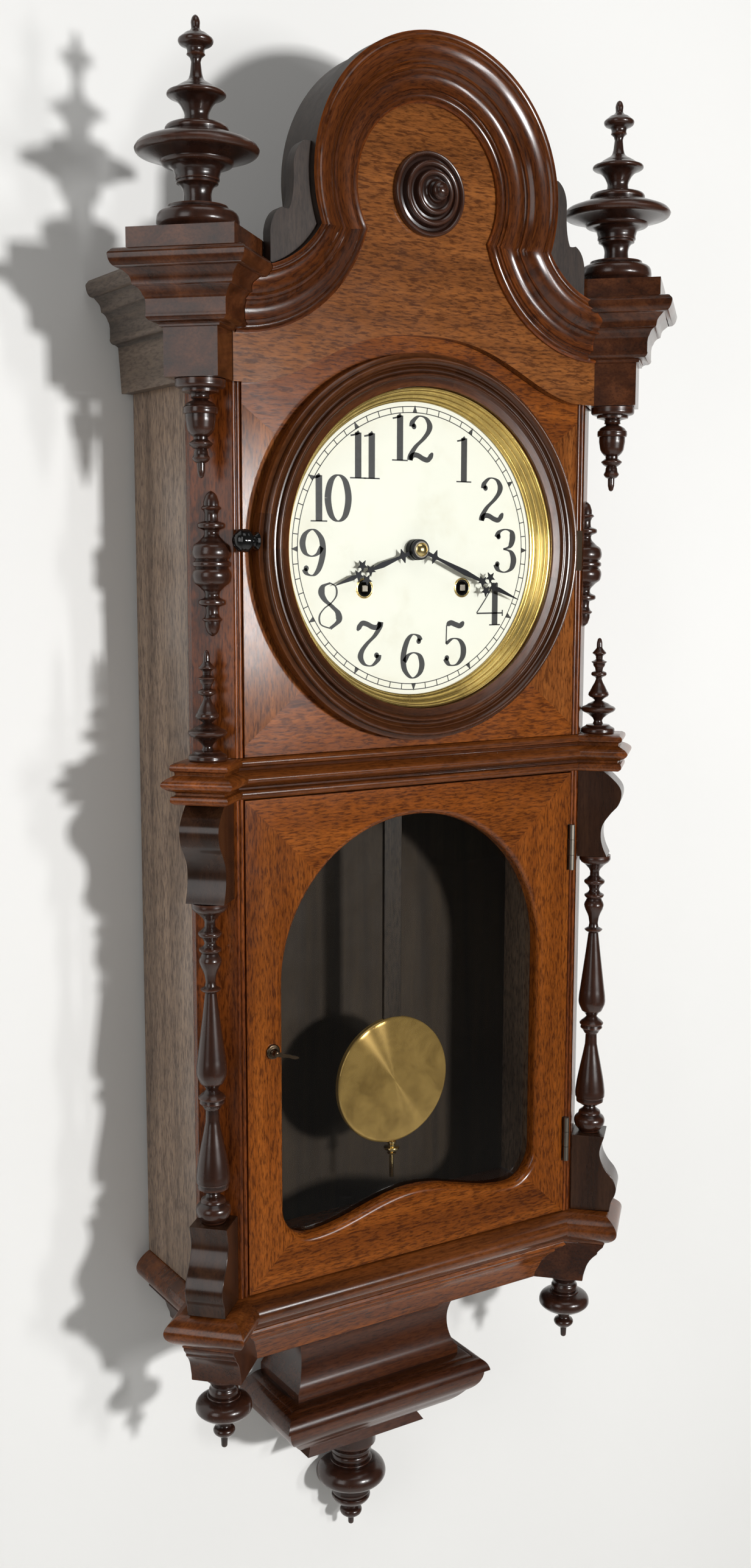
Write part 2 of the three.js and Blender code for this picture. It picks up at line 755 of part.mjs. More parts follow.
// Slab that clears the block's own faces where the frieze and the board run up to it
function blockWall() {
  return toLeftCorner(block(-60, 80, -blockHalf - fit, blockHalf + fit, blockRise - 20, caseTop + 20));
}

function buildSideCornices() {
  const inner = halfWidth + fit;
  const face = halfWidth + friezeProjection;
  const section = [
    [inner, blockRise], [face, blockRise],
    ...cornice.slice(1).map(([out, up]) => [face + out * sideShrink, friezeTop + up - sideDrop]),
    [inner, caseTop],
  ];
  const shape = new THREE.Shape(section.map(([x, z]) => new THREE.Vector2(-x, z)));
  const run = plate(shape, 0, frontY);
  addPair('side_cornice', cut(run, toLeftCorner(blockStack(fit)), blockWall()), 'moulding');
}

function buildPediment(panelTop) {
  const caps = toLeftCorner(blockStack(fit));
  add('pediment_moulding', cut(crestMoulding(), caps, mirrored(caps)), 'moulding');
  const upper = crestLine(0.04);
  const lower = [];
  const edgeSteps = 20;
  const reach = sweepX + 2;
  for (let k = 0; k <= edgeSteps; k += 1) {
    const x = reach - 2 * reach * k / edgeSteps;
    lower.push([x, boardEdge(x)]);
  }
  const vectors = (points) => points.map(([x, z]) => new THREE.Vector2(x, z));
  const board = plate(new THREE.Shape(vectors([...upper, ...lower])), boardY, frontY - fit);
  const inBoard = upper.filter(([x]) => Math.abs(x) < panelHalf - 1);
  const backingLow = panelTop + fit;
  const corner = inBoard[0][0];
  const backing = new THREE.Shape(vectors([[corner, backingLow], ...inBoard, [-corner, backingLow]]));
  const strip = plate(backing, boardY + 1, boardY + backingDepth);
  const belowTop = block(-halfWidth, halfWidth, boardY, 0, backingLow - 1, caseTop + fit);
  const arch = cut(plate(backing, boardY + backingDepth - 1, boardY + archDepth), belowTop);
  const wall = blockWall();
  add('pediment_board', cut(join(board, strip, arch), wall, mirrored(wall)), 'veneer');
}

function buildRosette() {
  const section = outline([
    [0, 0], [26.5, 0], [26.5, 2.4], [23.4, 4, 0.6], [21.4, 3], [20.2, 5.6], [16.6, 7, 0.6],
    [15, 5.8], [13.8, 8.6], [10.4, 9.8, 0.6], [8.8, 8.4], [5.6, 11.4], [5.2, 14.2], [0, 18.6, 0.8],
  ]);
  const points = section.map(([r, rise]) => new THREE.Vector2(r / 26.5 * rosetteRadius, boardY - fit - rise));
  const rosette = new THREE.LatheGeometry(points, 16);
  add('crest_rosette', rosette, 'moulding').position.z = archHeight - rosetteDrop;
}

// Fretwork ear in the angle between the arch and the side sweep
function buildFrets() {
  const arch = archRadius + fit;
  const sweep = sweepRadius - fit;
  const tip = halfWidth - fretInset;
  const shape = new THREE.Shape();
  const startAngle = Math.asin(fretTop / arch);
  const meet = mitre(0);
  const meetAngle = -Math.atan2(meet.drop, meet.x);
  const crossing = Math.atan2(-meet.drop, meet.x - sweepX);
  const tipAngle = -Math.PI + Math.acos((sweepX - tip) / sweep);
  shape.moveTo(Math.cos(startAngle) * arch, archHeight + fretTop);
  for (let k = 1; k <= 6; k += 1) {
    const a = startAngle + (meetAngle + 0.012 - startAngle) * k / 6;
    shape.lineTo(Math.cos(a) * arch, archHeight + Math.sin(a) * arch);
  }
  for (let k = 1; k <= 6; k += 1) {
    const a = crossing + (tipAngle - crossing) * k / 6;
    shape.lineTo(sweepX + Math.cos(a) * sweep, archHeight + Math.sin(a) * sweep);
  }
  shape.lineTo(tip, archHeight - 38);
  shape.quadraticCurveTo(tip - 1, archHeight - 27, tip - 8, archHeight - 23.5);
  shape.quadraticCurveTo(tip - 11, archHeight - 24.5, tip - 13, archHeight - 24);
  shape.quadraticCurveTo(tip - 17, archHeight - 16, tip - 16.2, archHeight + 2);
  shape.quadraticCurveTo(tip - 17, archHeight + 13, tip - 24, archHeight + fretTop);
  const left = mirrored(plate(shape, boardY - fretBack, boardY - fretBack - fretThickness, 5));
  addPair('fret', cut(left, toLeftCorner(blockStack(fit))), 'turned');
}

// Turned work: profiles go from the foot to the tip, in millimetres as drawn

const finialProfile = [
  [0, 0], [20, 0], [23, 3.3], [24.3, 8.1, 0.6], [19, 13.8], [18, 15.8], [8.2, 17.8], [8.2, 21.8],
  [12.4, 28.8, -1.2], [13, 32.8], [14, 36.3], [20.6, 39.2], [22, 41.3], [33, 44.8], [36.9, 48.1],
  [32.2, 52.1], [18.4, 57.6], [16.6, 61.8, 0.6], [7.3, 64.5], [7.1, 67.2], [8.2, 70.6], [14, 76.8, -0.8],
  [17.3, 78.3], [16.9, 80.3], [4.5, 87.8, -1], [2.8, 97.3], [5.5, 101.3], [5.7, 105.1], [10.3, 108.8, 0.6],
  [6.2, 113.1, 0.6], [2.5, 115.8], [2.3, 120.8], [0, 123.6],
];

const pendantProfile = [
  [0, 0], [2.3, 4], [2.4, 8.9], [5.5, 12], [4.2, 15.8], [7, 19.8], [7.3, 20.8], [4.4, 23], [4.4, 24.4],
  [8.3, 29.1], [9.2, 37.7], [10.2, 38.1], [9.7, 42.4, 0.8], [4.4, 46.3, 0.6], [6, 47.2], [5.9, 49.5],
  [11, 50.8], [11.2, 52.4], [15.2, 54.4], [15.2, 58.1], [0, 58.1],
];

const spindleHalf = [
  [0, 0], [3.4, 2.8], [4.7, 9.1], [6.3, 10.9], [4, 13.9], [4.3, 18.4], [7.6, 19.5], [7.6, 22.9, 0.8],
  [4.9, 24], [4.5, 26.6], [6.4, 29.2], [11.9, 35.6, 1.4], [11.9, 39.7], [10.2, 42], [12, 44.8],
];

const smallFinialProfile = [
  [0, 0], [11.8, 0], [12.1, 1.8], [8.3, 5.8], [3.8, 6.4], [3, 8.5], [10.2, 14.9, -1.4], [12.5, 17.4],
  [7.2, 21.2], [2.6, 23.5], [6.1, 26.5], [7.3, 27.7], [4.2, 34.5], [2.1, 39.1], [4.9, 41.3],
  [4.9, 44], [2.6, 45], [4.1, 48.5], [5.5, 51.3], [2.4, 53.4], [4.9, 57.9], [2.1, 61.5], [1.5, 67.3],
  [0, 68.7],
];

const columnProfile = [
  [0, 0], [7.9, 0], [8.7, 1.7], [11.3, 6.3, 0.6], [10.7, 10.8], [7.9, 13.3], [7.9, 15.2], [4.3, 19.1],
  [10.1, 22.8], [10.9, 27.5], [10.8, 33.3], [7.5, 52.5], [4.5, 67.6], [4.2, 75.4], [8.2, 80.2],
  [8.8, 83.9, 0.6], [3.8, 89], [7.4, 93.2], [9.8, 102.5], [7.2, 124.7], [3.7, 153], [6.6, 155.7],
  [3.2, 160.3], [3.9, 164.9], [7.3, 174.2], [5.4, 179], [7.1, 182.1, 0.6], [3.7, 185.3], [4.2, 187.3],
  [7.5, 192.4, 0.8], [3.5, 196.4], [3.4, 199.5], [10, 206.6, -0.8], [11.5, 212], [0, 212],
];

const cornerDropProfile = [
  [0, 0], [1.7, 0.4], [2.3, 7.6], [5.7, 9.9], [7.4, 12.6], [4.3, 16.8], [4.6, 20.4], [12, 23.4],
  [17.4, 26.4, 0.4], [19, 30.1, 0.5], [16.3, 35.3, 0.6], [11, 37.6], [9.5, 38.6], [9.6, 43.6],
  [12.6, 50.8, -1], [12.6, 53.7], [0, 53.7],
];

const centreDropProfile = [
  [0, 0], [1.8, 0.5], [2.3, 6.2], [6.6, 8.8], [8.5, 11.9], [5.6, 16.4], [12.2, 21.2, 0.8],
  [14.9, 25.4], [13.6, 27.8], [14.9, 30], [14.9, 34.6], [24.6, 40, 0.5], [26.8, 45.4, 0.6],
  [22.5, 52.6, 1], [15.4, 55.6], [14.2, 57], [14.2, 61.2], [16.4, 66.6, -0.4], [19, 70.6],
  [19, 82.1], [0, 82.1],
];

// A split spindle is a whole turning sawn in half and glued to the canted face
function spindle() {
  const upper = spindleHalf.slice(0, -1).reverse().map(([r, z]) => [r, 89.6 - z]);
  const whole = turned([...spindleHalf, ...upper], spindleHeight, spindleRadius, 10);
  return cut(whole, block(-40, fit, -40, 40, -5, spindleHeight + 5));
}

function buildTurnings() {
  const finial = turned(finialProfile, finialHeight, finialRadius, 10);
  addCorners('finial', finial, 'turned', blockAxis, plinthTop + fit);
  const pendantFoot = blockRise - fit - pendantHeight;
  const pendant = turned(pendantProfile, pendantHeight, pendantRadius, 8);
  addCorners('pendant', pendant, 'turned', blockAxis, pendantFoot);
  const spindleFoot = blockRise - spindleTop - spindleHeight;
  addCorners('split_spindle', spindle(), 'turned', 0, spindleFoot);
  const small = turned(smallFinialProfile, smallFinialHeight, smallFinialRadius, 8);
  addCorners('small_finial', small, 'turned', columnAxis, beltTop + fit);
  const top = beltBottom - upperBracketHeight - 3 * fit;
  const bottom = baseTop + lowerBracketHeight + 3 * fit;
  const column = turned(columnProfile, top - bottom, columnRadius, 8);
  addCorners('column', column, 'turned', columnAxis, bottom);
  const dropFoot = apronBottom - fit - cornerDropHeight;
  const drop = turned(cornerDropProfile, cornerDropHeight, cornerDropRadius, 10);
  addCorners('corner_drop', drop, 'turned', cornerDropAxis, dropFoot);
  // The centre drop is planed flat at the back, where it meets the wall
  const beyond = centreDropRadius + 5;
  const wallSide = block(-beyond, beyond, centreDropAxis, beyond, -5, centreDropHeight + 5);
  const centre = cut(turned(centreDropProfile, centreDropHeight, centreDropRadius, 12), wallSide);
  const centreFoot = apronBottom - 2 * fit - footHeight - centreDropHeight;
  add('centre_drop', centre, 'turned').position.set(0, -centreDropAxis, centreFoot);
}

// A sawn bracket: its side outline in [out, up], given the bracket's width along the canted face
function bracket(points, drawnHeight, height) {
  const line = outline(points).map(([out, up]) => new THREE.Vector2(out, up / drawnHeight * height));
  const options = { depth: 2 * bracketHalf, bevelEnabled: false };
  return new THREE.ExtrudeGeometry(new THREE.Shape(line), options)
    .rotateX(Math.PI / 2).translate(0, bracketHalf, 0);
}

function buildBrackets() {
  const upper = bracket([
    [fit, 0], [22, 0], [18.2, 9.6, -0.6], [17.4, 15], [18.2, 23.6, -0.4], [23.6, 31.8], [30.7, 40.6, 1],
    [30.7, 50.2, 1.2], [23.6, 58.8], [17.8, 63.3], [fit, 63.3],
  ], 63.3, upperBracketHeight);
  addCorners('upper_bracket', upper, 'turned', 0, beltBottom - fit - upperBracketHeight);
  const lower = bracket([
    [fit, 0], [29.6, 0], [30.6, 7.5], [33.8, 17, 1.4], [33.8, 22, 0.3], [31.3, 26.5, 0.4],
    [23.4, 37, -0.6], [21.3, 47.5, -0.8], [24.8, 58.1], [fit, 58.1],
  ], 58.1, lowerBracketHeight);
  addCorners('lower_bracket', lower, 'turned', 0, baseTop + fit);
}

// Lower door

// Glazed opening, grown by a margin: round head, straight sides, and a bottom that humps in the middle
function doorLight(grow) {
  const halfLight = doorOpening + grow;
  const headZ = doorTop - doorTopRail - doorOpening;
  const low = doorBottom + doorBottomRail - grow;
  const cornerRadius = lightCorner + grow;
  const points = [];
  const headSteps = 18;
  for (let k = 0; k <= headSteps; k += 1) {
    const a = Math.PI - Math.PI * k / headSteps;
    points.push([halfLight * Math.cos(a), headZ + halfLight * Math.sin(a)]);
  }
  const corner = [];
  const cornerSteps = 4;
  for (let k = 0; k < cornerSteps; k += 1) {
    const a = -Math.PI / 2 * k / cornerSteps;
    corner.push([humpHalf + cornerRadius * Math.cos(a), low + cornerRadius + cornerRadius * Math.sin(a)]);
  }
  points.push(...corner);
  const humpSteps = 10;
  for (let k = 0; k <= humpSteps; k += 1) {
    const x = humpHalf * (1 - 2 * k / humpSteps);
    points.push([x, low + humpRise * (1 + Math.cos(Math.PI * x / humpHalf)) / 2]);
  }
  points.push(...corner.reverse().map(([x, z]) => [-x, z]));
  return points.map(([x, z]) => new THREE.Vector2(x, z));
}

const doorRim = [
  [-panelHalf, doorBottom], [panelHalf, doorBottom], [panelHalf, doorTop], [-panelHalf, doorTop],
].map(([x, z]) => new THREE.Vector2(x, z));

const latchX = -panelHalf + latchInset;

function buildDoor() {
  const glassY = frontY + glassInset;
  const layer = (grow, y0, y1) => {
    const shape = new THREE.Shape(doorRim);
    shape.holes.push(new THREE.Path(doorLight(grow)));
    return plate(shape, y0, y1);
  };
  const eased = frontY + easingDepth;
  const frame = join(layer(easing, frontY, eased), layer(0, eased, glassY), layer(rebate, glassY, doorBack));
  const spindleHole = rodY(latchSpindle + runningFit, frontY - 1, doorBack + 1, latchX, latchHeight);
  const leafSpace = mortises(panelHalf - leafThickness - fit, panelHalf + 1);
  add('door_frame', cut(frame, spindleHole, ...leafSpace), 'veneer');
  const glassShape = new THREE.Shape(doorLight(rebate - fit));
  add('door_glass', plate(glassShape, glassY + fit, glassY + fit + glassThickness), 'glass');
}

// Butt hinges: the door's leaf has the middle knuckle, the post's leaf the outer two
function buildHinges() {
  const doorFace = panelHalf - leafThickness;
  ['upper', 'lower'].forEach((name, i) => {
    const z = hingeLevels[i];
    const [low, high] = [z - hingeHeight / 2, z + hingeHeight / 2];
    const third = hingeHeight / 6;
    const barrel = rodZ(barrelRadius, low, high, hingeX, hingeY, 10);
    const middle = block(hingeX - 5, hingeX + 5, hingeY - 4, frontY + 0.2, z - third - fit, z + third + fit);
    const outer = [[low - 1, z - third], [z + third, high + 1]]
      .map(([z0, z1]) => block(hingeX - 5, hingeX + 5, hingeY - 4, frontY + 0.2, z0, z1));
    const leaf = (x0, x1) => block(x0, x1, hingeY, hingeY + leafWidth, low, high);
    add(`door_hinge_${name}`, cut(join(leaf(doorFace, panelHalf), barrel), ...outer), 'steel');
    const caseLeaf = leaf(postInner, postInner + leafThickness);
    add(`case_hinge_${name}`, cut(join(caseLeaf, barrel), middle), 'steel');
  });
}

// Turn latch: a rose and lever in front, a spindle through the stile, a finger behind the post
function buildLatch() {
  const roseRadius = 6;
  const roseHeight = 2;
  const bossRadius = 2.6;
  const bossHeight = 7;
  const leverLength = 17;
  const leverHeight = 3;
  const leverSlant = 0.35;
  const fingerHalf = 4;
  const fingerThickness = 1.6;
  const rose = rodY(roseRadius, 0, -roseHeight, 0, 0, 16);
  const boss = rodY(bossRadius, 0, -bossHeight, 0, 0, 12);
  const lever = block(0, leverLength, -bossHeight + 2.2, -bossHeight, -leverHeight / 2, leverHeight / 2);
  const spindleLength = doorThickness + 2 * fit;
  const spindleBar = rodY(latchSpindle, -1, spindleLength + 1, 0, 0, 10);
  const finger = block(
    -latchReach, fingerHalf, spindleLength, spindleLength + fingerThickness, -fingerHalf, fingerHalf,
  );
  const latch = join(rose, boss, lever.rotateY(leverSlant), spindleBar, finger);
  add('door_latch', latch, 'brass').position.set(latchX, frontY - fit, latchHeight);
}

// Hands

// Half outline of a hand as [across, along], mirrored into a blade with a round boss
function blade(profile, length) {
  const drawn = profile[profile.length - 1][1];
  const side = profile.map(([x, z]) => [x, z / drawn * length]);
  const left = side.slice(0, -1).reverse().map(([x, z]) => [-x, z]);
  return new THREE.Shape([...side, ...left].map(([x, z]) => new THREE.Vector2(x, z)));
}

function buildHands() {
  const hourY = dialY - 4;
  const minuteY = hourY - 3;
  const hourPipe = 4;
  const hourHub = 7;
  const minuteHub = 6.4;
  const nutRadius = 5;
  const nutHeight = 2;
  const hourBore = studRadius + runningFit;
  const hourShape = blade([
    [2.4, 0], [2.2, 8], [4.8, 12], [2.4, 16], [1.4, 24], [1.4, 32], [4, 35], [7, 37], [6, 41], [3, 43],
    [4.4, 46], [2, 50], [1.2, 56], [0, 66],
  ], hourLength);
  const hour = join(
    plate(hourShape, hourY, hourY - handThickness),
    rodY(hourHub, hourY, hourY - handThickness, 0, 0, 20),
    rodY(hourPipe, hourY, dialY + 3, 0, 0, 16),
  );
  const hourHand = cut(hour, rodY(hourBore, hourY - 4, dialY + 6, 0, 0, 16));
  add('hour_hand', hourHand, 'blackSteel').rotation.y = THREE.MathUtils.degToRad(hourAngle);
  const minuteShape = blade([
    [2.2, 0], [2, 9], [4.4, 13], [2.2, 17], [1.3, 28], [1.3, 48], [3.4, 51], [5.6, 53], [4.6, 57],
    [2.4, 59], [3.4, 62], [1.6, 67], [1, 76], [0, 88],
  ], minuteLength);
  const minute = join(
    plate(minuteShape, minuteY, minuteY - handThickness),
    rodY(minuteHub, minuteY, minuteY - handThickness, 0, 0, 20),
    rodY(nutRadius, minuteY - handThickness - nutHeight, minuteY, 0, 0, 16),
    rodY(studRadius, minuteY - 0.5, frontPlateY - 2 * runningFit, 0, 0, 10),
  );
  add('minute_hand', minute, 'blackSteel').rotation.y = THREE.MathUtils.degToRad(minuteAngle);
}

// Movement

function buildMovement() {
  const plateSlab = (y) => block(-plateHalf, plateHalf, y, y + plateThickness, plateBottom, plateTop);
  const pillarRadius = 3.5;
  const inset = 5;
  const pillarSpots = [-1, 1].flatMap((side) => [plateBottom + inset, plateTop - inset]
    .map((z) => [side * (plateHalf - inset), z]));
  const pillars = pillarSpots
    .map(([x, z]) => rodY(pillarRadius, frontPlateY + 0.5, -backThickness - fit, x, z, 8));
  const stud = rodY(studRadius, frontPlateY + 0.5, pendulumY - 3.2, 0, suspensionHeight, 10);
  const centreStud = rodY(3.2, frontPlateY + 0.5, frontPlateY - 0.2, 0, 0, 10);
  const frame = join(plateSlab(frontPlateY), plateSlab(backPlateY), ...pillars, stud, centreStud);
  const [holeFront, holeBack] = [frontPlateY - 1, frontPlateY + plateThickness + 1];
  const arborHoles = [[-windingX, windingZ], [windingX, windingZ], [0, escapeHeight]]
    .map(([x, z]) => rodY(arborRadius + runningFit, holeFront, holeBack, x, z, 10));
  add('movement_frame', cut(frame, ...arborHoles), 'brass');
}

// A disc with pointed teeth, in the XZ plane
function toothed(radius, teeth, depthOfTooth, y0, y1) {
  const points = [];
  for (let k = 0; k < 2 * teeth; k += 1) {
    const a = Math.PI * k / teeth;
    const r = k % 2 ? radius - depthOfTooth : radius;
    points.push(new THREE.Vector2(r * Math.cos(a), r * Math.sin(a)));
  }
  return plate(new THREE.Shape(points), y0, y1);
}

function buildWheels() {
  const backEnd = backPlateY - runningFit;
  const wheelY = (frontPlateY + backPlateY) / 2;
  const squareEnd = 0.5; // of the winding arbor, in front of the dial
  const wheelThickness = 3;
  [['time', windingX], ['strike', -windingX]].forEach(([name, x]) => {
    const wheel = toothed(greatWheelRadius, 30, 2.4, wheelY, wheelY + wheelThickness);
    const arbor = rodY(arborRadius, backEnd, dialY - squareEnd, 0, 0, 8);
    add(`${name}_great_wheel`, join(wheel, arbor), 'brass').position.set(x, 0, windingZ);
  });
  const escapeY = frontPlateY - 4;
  const escape = join(
    toothed(escapeRadius, 24, 3, escapeY, escapeY - 1.6),
    rodY(arborRadius - 0.6, backEnd, escapeY - 1, 0, 0, 8),
  );
  add('escape_wheel', escape, 'brass').position.z = escapeHeight;
}

// Verge: an eye on the suspension stud, two pallet arms and a crutch that takes the pendulum rod
function buildVerge() {
  const vergeY = frontPlateY - 3.6;
  const armHalf = escapeRadius * 0.9 + 1.2;
  const drop = suspensionHeight - escapeHeight;
  const palletTip = drop - escapeRadius * 0.55 + 1;
  const arms = new THREE.Shape([
    [-armHalf - 3, -palletTip], [-armHalf - 1, -palletTip], [-armHalf + 1, -5], [0, -2.5], [armHalf - 1, -5],
    [armHalf + 1, -palletTip], [armHalf + 3, -palletTip], [armHalf + 3, -3], [0, 4], [-armHalf - 3, -3],
  ].map(([x, z]) => new THREE.Vector2(x, z)));
  const crutchDrop = 30;
  const forkHalf = 2.6;
  const crutchY = vergeY - 3;
  const verge = join(
    plate(arms, vergeY, vergeY - 2),
    rodY(4.4, vergeY, crutchY - 1, 0, 0, 14),
    block(-1.2, 1.2, crutchY - 1, crutchY + 0.4, -crutchDrop, -3),
    block(-forkHalf - 1.2, forkHalf + 1.2, crutchY - 1, crutchY + 0.4, -crutchDrop - 1.4, -crutchDrop + 1.4),
    block(-forkHalf - 1.2, -forkHalf, pendulumY - 2, crutchY, -crutchDrop - 1.4, -crutchDrop + 1.4),
    block(forkHalf, forkHalf + 1.2, pendulumY - 2, crutchY, -crutchDrop - 1.4, -crutchDrop + 1.4),
  );
  const bore = rodY(studRadius + fit, vergeY + 4, pendulumY, 0, 0, 12);
  add('verge', cut(verge, bore), 'steel').position.z = suspensionHeight;
}

// Pendulum: a flat stick below a narrow stirrup, which leaves room for the centre arbor, and a
// threaded end that carries the bob and its nut
function buildPendulum() {
  const stirrupTop = -suspensionHeight + 24;
  const stirrupBottom = -suspensionHeight - 18;
  const stirrupHalf = 9;
  const strip = 1.6;
  const stickHalf = 7.2;
  const stickThickness = 3;
  const rodRadius = 1.6;
  const rodInStick = 5;
  const tail = 26; // of the rod below the bob
  const nutRadius = 5.4;
  const nutHeight = 2.4;
  const y0 = pendulumY - 0.9;
  const y1 = pendulumY + 0.9;
  const bobZ = -pendulumLength;
  const stickFoot = bobZ + bobRadius + fit;
  const nutTop = bobZ - bobRadius - 6.6;
  const rod = join(
    rodY(4, y0 - 0.6, y1 + 0.6, 0, 0, 14),
    block(-1.5, 1.5, y0, y1, stirrupTop, -3),
    block(-stirrupHalf - strip, stirrupHalf + strip, y0, y1, stirrupTop - strip, stirrupTop + strip),
    block(-stirrupHalf - strip, stirrupHalf + strip, y0, y1, stirrupBottom - strip, stirrupBottom + strip),
    block(-stirrupHalf - strip, -stirrupHalf, y0, y1, stirrupBottom, stirrupTop),
    block(stirrupHalf, stirrupHalf + strip, y0, y1, stirrupBottom, stirrupTop),
    block(-stickHalf, stickHalf, y0, y0 + stickThickness, stickFoot, stirrupBottom),
    rodZ(rodRadius, bobZ - bobRadius - tail, stickFoot + rodInStick, 0, pendulumY, 10),
    rodZ(nutRadius, nutTop - nutHeight, nutTop, 0, pendulumY, 16),
  );
  const eye = rodY(studRadius + fit, y0 - 3, y1 + 3, 0, 0, 12);
  add('pendulum_rod', cut(rod, eye), 'steel').position.z = suspensionHeight;
  const face = outline([[0, -bobThickness / 2], [bobRadius, 0, 3.6], [0, bobThickness / 2, 3.6]], 4);
  const lens = new THREE.LatheGeometry(face.map(([r, y]) => new THREE.Vector2(r, y)), 20);
  const bore = rodZ(rodRadius + fit, -bobRadius - 3, bobRadius + 3, 0, 0, 10);
  add('pendulum_bob', cut(lens, bore), 'brass').position.set(0, pendulumY, suspensionHeight + bobZ);
}

// Gong on its iron block, on the back board below the movement
function buildGong() {
  const wire = 4;
  const gongY = -18;
  const inner = gongRadius - wire;
  const ring = turnedY([
    [gongRadius, gongY], [gongRadius, gongY + wire], [inner, gongY + wire], [inner, gongY],
  ], 32);
  const arm = block(0, gongRadius - wire / 2, gongY, gongY + wire, -2, 2);
  const foot = block(-9, 9, gongY - 2, -backThickness - fit, -9, 9);
  add('gong', join(ring, arm, foot), 'steel').position.z = gongHeight;
}

buildCase();
buildPosts();
buildBelt();
buildBase();
buildFoot();
buildDial();
buildBezel();
buildKnob();
buildPediment(buildDialPanel());
buildRosette();
buildFrets();
buildCornerBlocks();
buildSideCornices();
buildTurnings();
buildBrackets();
buildDoor();
buildHinges();
buildLatch();
buildHands();
buildMovement();
buildWheels();
buildVerge();
buildPendulum();
buildGong();

export default clock;
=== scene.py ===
import math

import bmesh
import bpy
from mathutils import Matrix, Vector
from mathutils.geometry import tessellate_polygon


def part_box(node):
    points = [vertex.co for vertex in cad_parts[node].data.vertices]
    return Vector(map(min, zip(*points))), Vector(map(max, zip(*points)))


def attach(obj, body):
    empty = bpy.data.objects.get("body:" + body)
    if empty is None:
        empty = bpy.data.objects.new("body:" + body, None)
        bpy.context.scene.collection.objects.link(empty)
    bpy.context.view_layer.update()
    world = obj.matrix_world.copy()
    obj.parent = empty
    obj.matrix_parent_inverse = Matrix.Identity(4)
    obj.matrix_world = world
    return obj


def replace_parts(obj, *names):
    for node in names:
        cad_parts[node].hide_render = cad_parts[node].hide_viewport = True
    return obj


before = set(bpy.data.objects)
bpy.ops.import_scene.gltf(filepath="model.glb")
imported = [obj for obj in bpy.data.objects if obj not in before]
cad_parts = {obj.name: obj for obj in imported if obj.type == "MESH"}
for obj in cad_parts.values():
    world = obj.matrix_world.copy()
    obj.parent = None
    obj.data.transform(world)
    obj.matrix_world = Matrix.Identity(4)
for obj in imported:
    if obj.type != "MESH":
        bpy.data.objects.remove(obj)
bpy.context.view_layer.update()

MM = 0.001
SAME_SPOT = 1e-7

# Case
FIT = 0.3
HALF_WIDTH = 158.5
FRONT = -103.0
CANT = 19.5
PANEL_HALF = 132.2
POST_INNER = 132.8
BEZEL_RADIUS = 126.0
BEZEL_BORE = 105.0
BELT_TOP = -131.2
BELT_BOTTOM = -157.2
DOOR_TOP = -158.6
DOOR_BOTTOM = -490.4
BASE_TOP = -491.5
APRON_TOP = -515.8
APRON_BOTTOM = -546.0
BLOCK_RISE = 100.3
FRIEZE_TOP = 128.8
CASE_TOP = 171.0
CORNICE_HEIGHT = 42.7
PLINTH_TOP = 183.4
BLOCK_HALF = 16.8
BLOCK_AXIS = 18.0
PLINTH_HALF = 32.9
FRIEZE_OUT = 7.9
PANEL_TOP = 141.3
HINGE_HEIGHTS = (-213, -433.7)
HINGE_HALF = 16.8
UPPER_BRACKET = 63.3
LOWER_BRACKET = 58.1
DRESSING_OUT = 12.4
FOOT_HEIGHT = 118.7
CENTRE_DROP_Y = -15
SPINDLE_HEIGHT = 89.6
SPINDLE_DOWN = 65.1
ROSETTE_Z = 225
BOARD_Y = FRONT - 6.7
CORNER_X = HALF_WIDTH - CANT / 2
CORNER_Y = FRONT + CANT / 2
HALF = math.sqrt(0.5)
CANT_FACE = CANT * HALF

# Crest
SWEEP_X = 140.0
ARCH_RADIUS = 93.4
ARCH_BAND = 39.5
SWEEP_BAND = 36.9
SWEEP_RADIUS = SWEEP_X - ARCH_RADIUS + 14
ARCH_HEIGHT = FRIEZE_TOP + SWEEP_RADIUS + SWEEP_BAND
MOULDING_DEPTH = 19.4

# Dial and hands
DIAL_Y = -96.2
TRACK_OUTER = 93.4
TRACK_INNER = 89.5
NUMERAL_HEIGHT = 30.2
WINDING = (39.2, -25.4)
HOUR_Y = -100.2
MINUTE_Y = -103.2
HOUR_ANGLE = 250.0
MINUTE_ANGLE = 112.5

# Pendulum
SUSPENSION = 74.0
PENDULUM_LENGTH = 450.0
BOB_Z = -373.8
PENDULUM_Y = -71.0
BOB_RADIUS = 45.6


# Materials

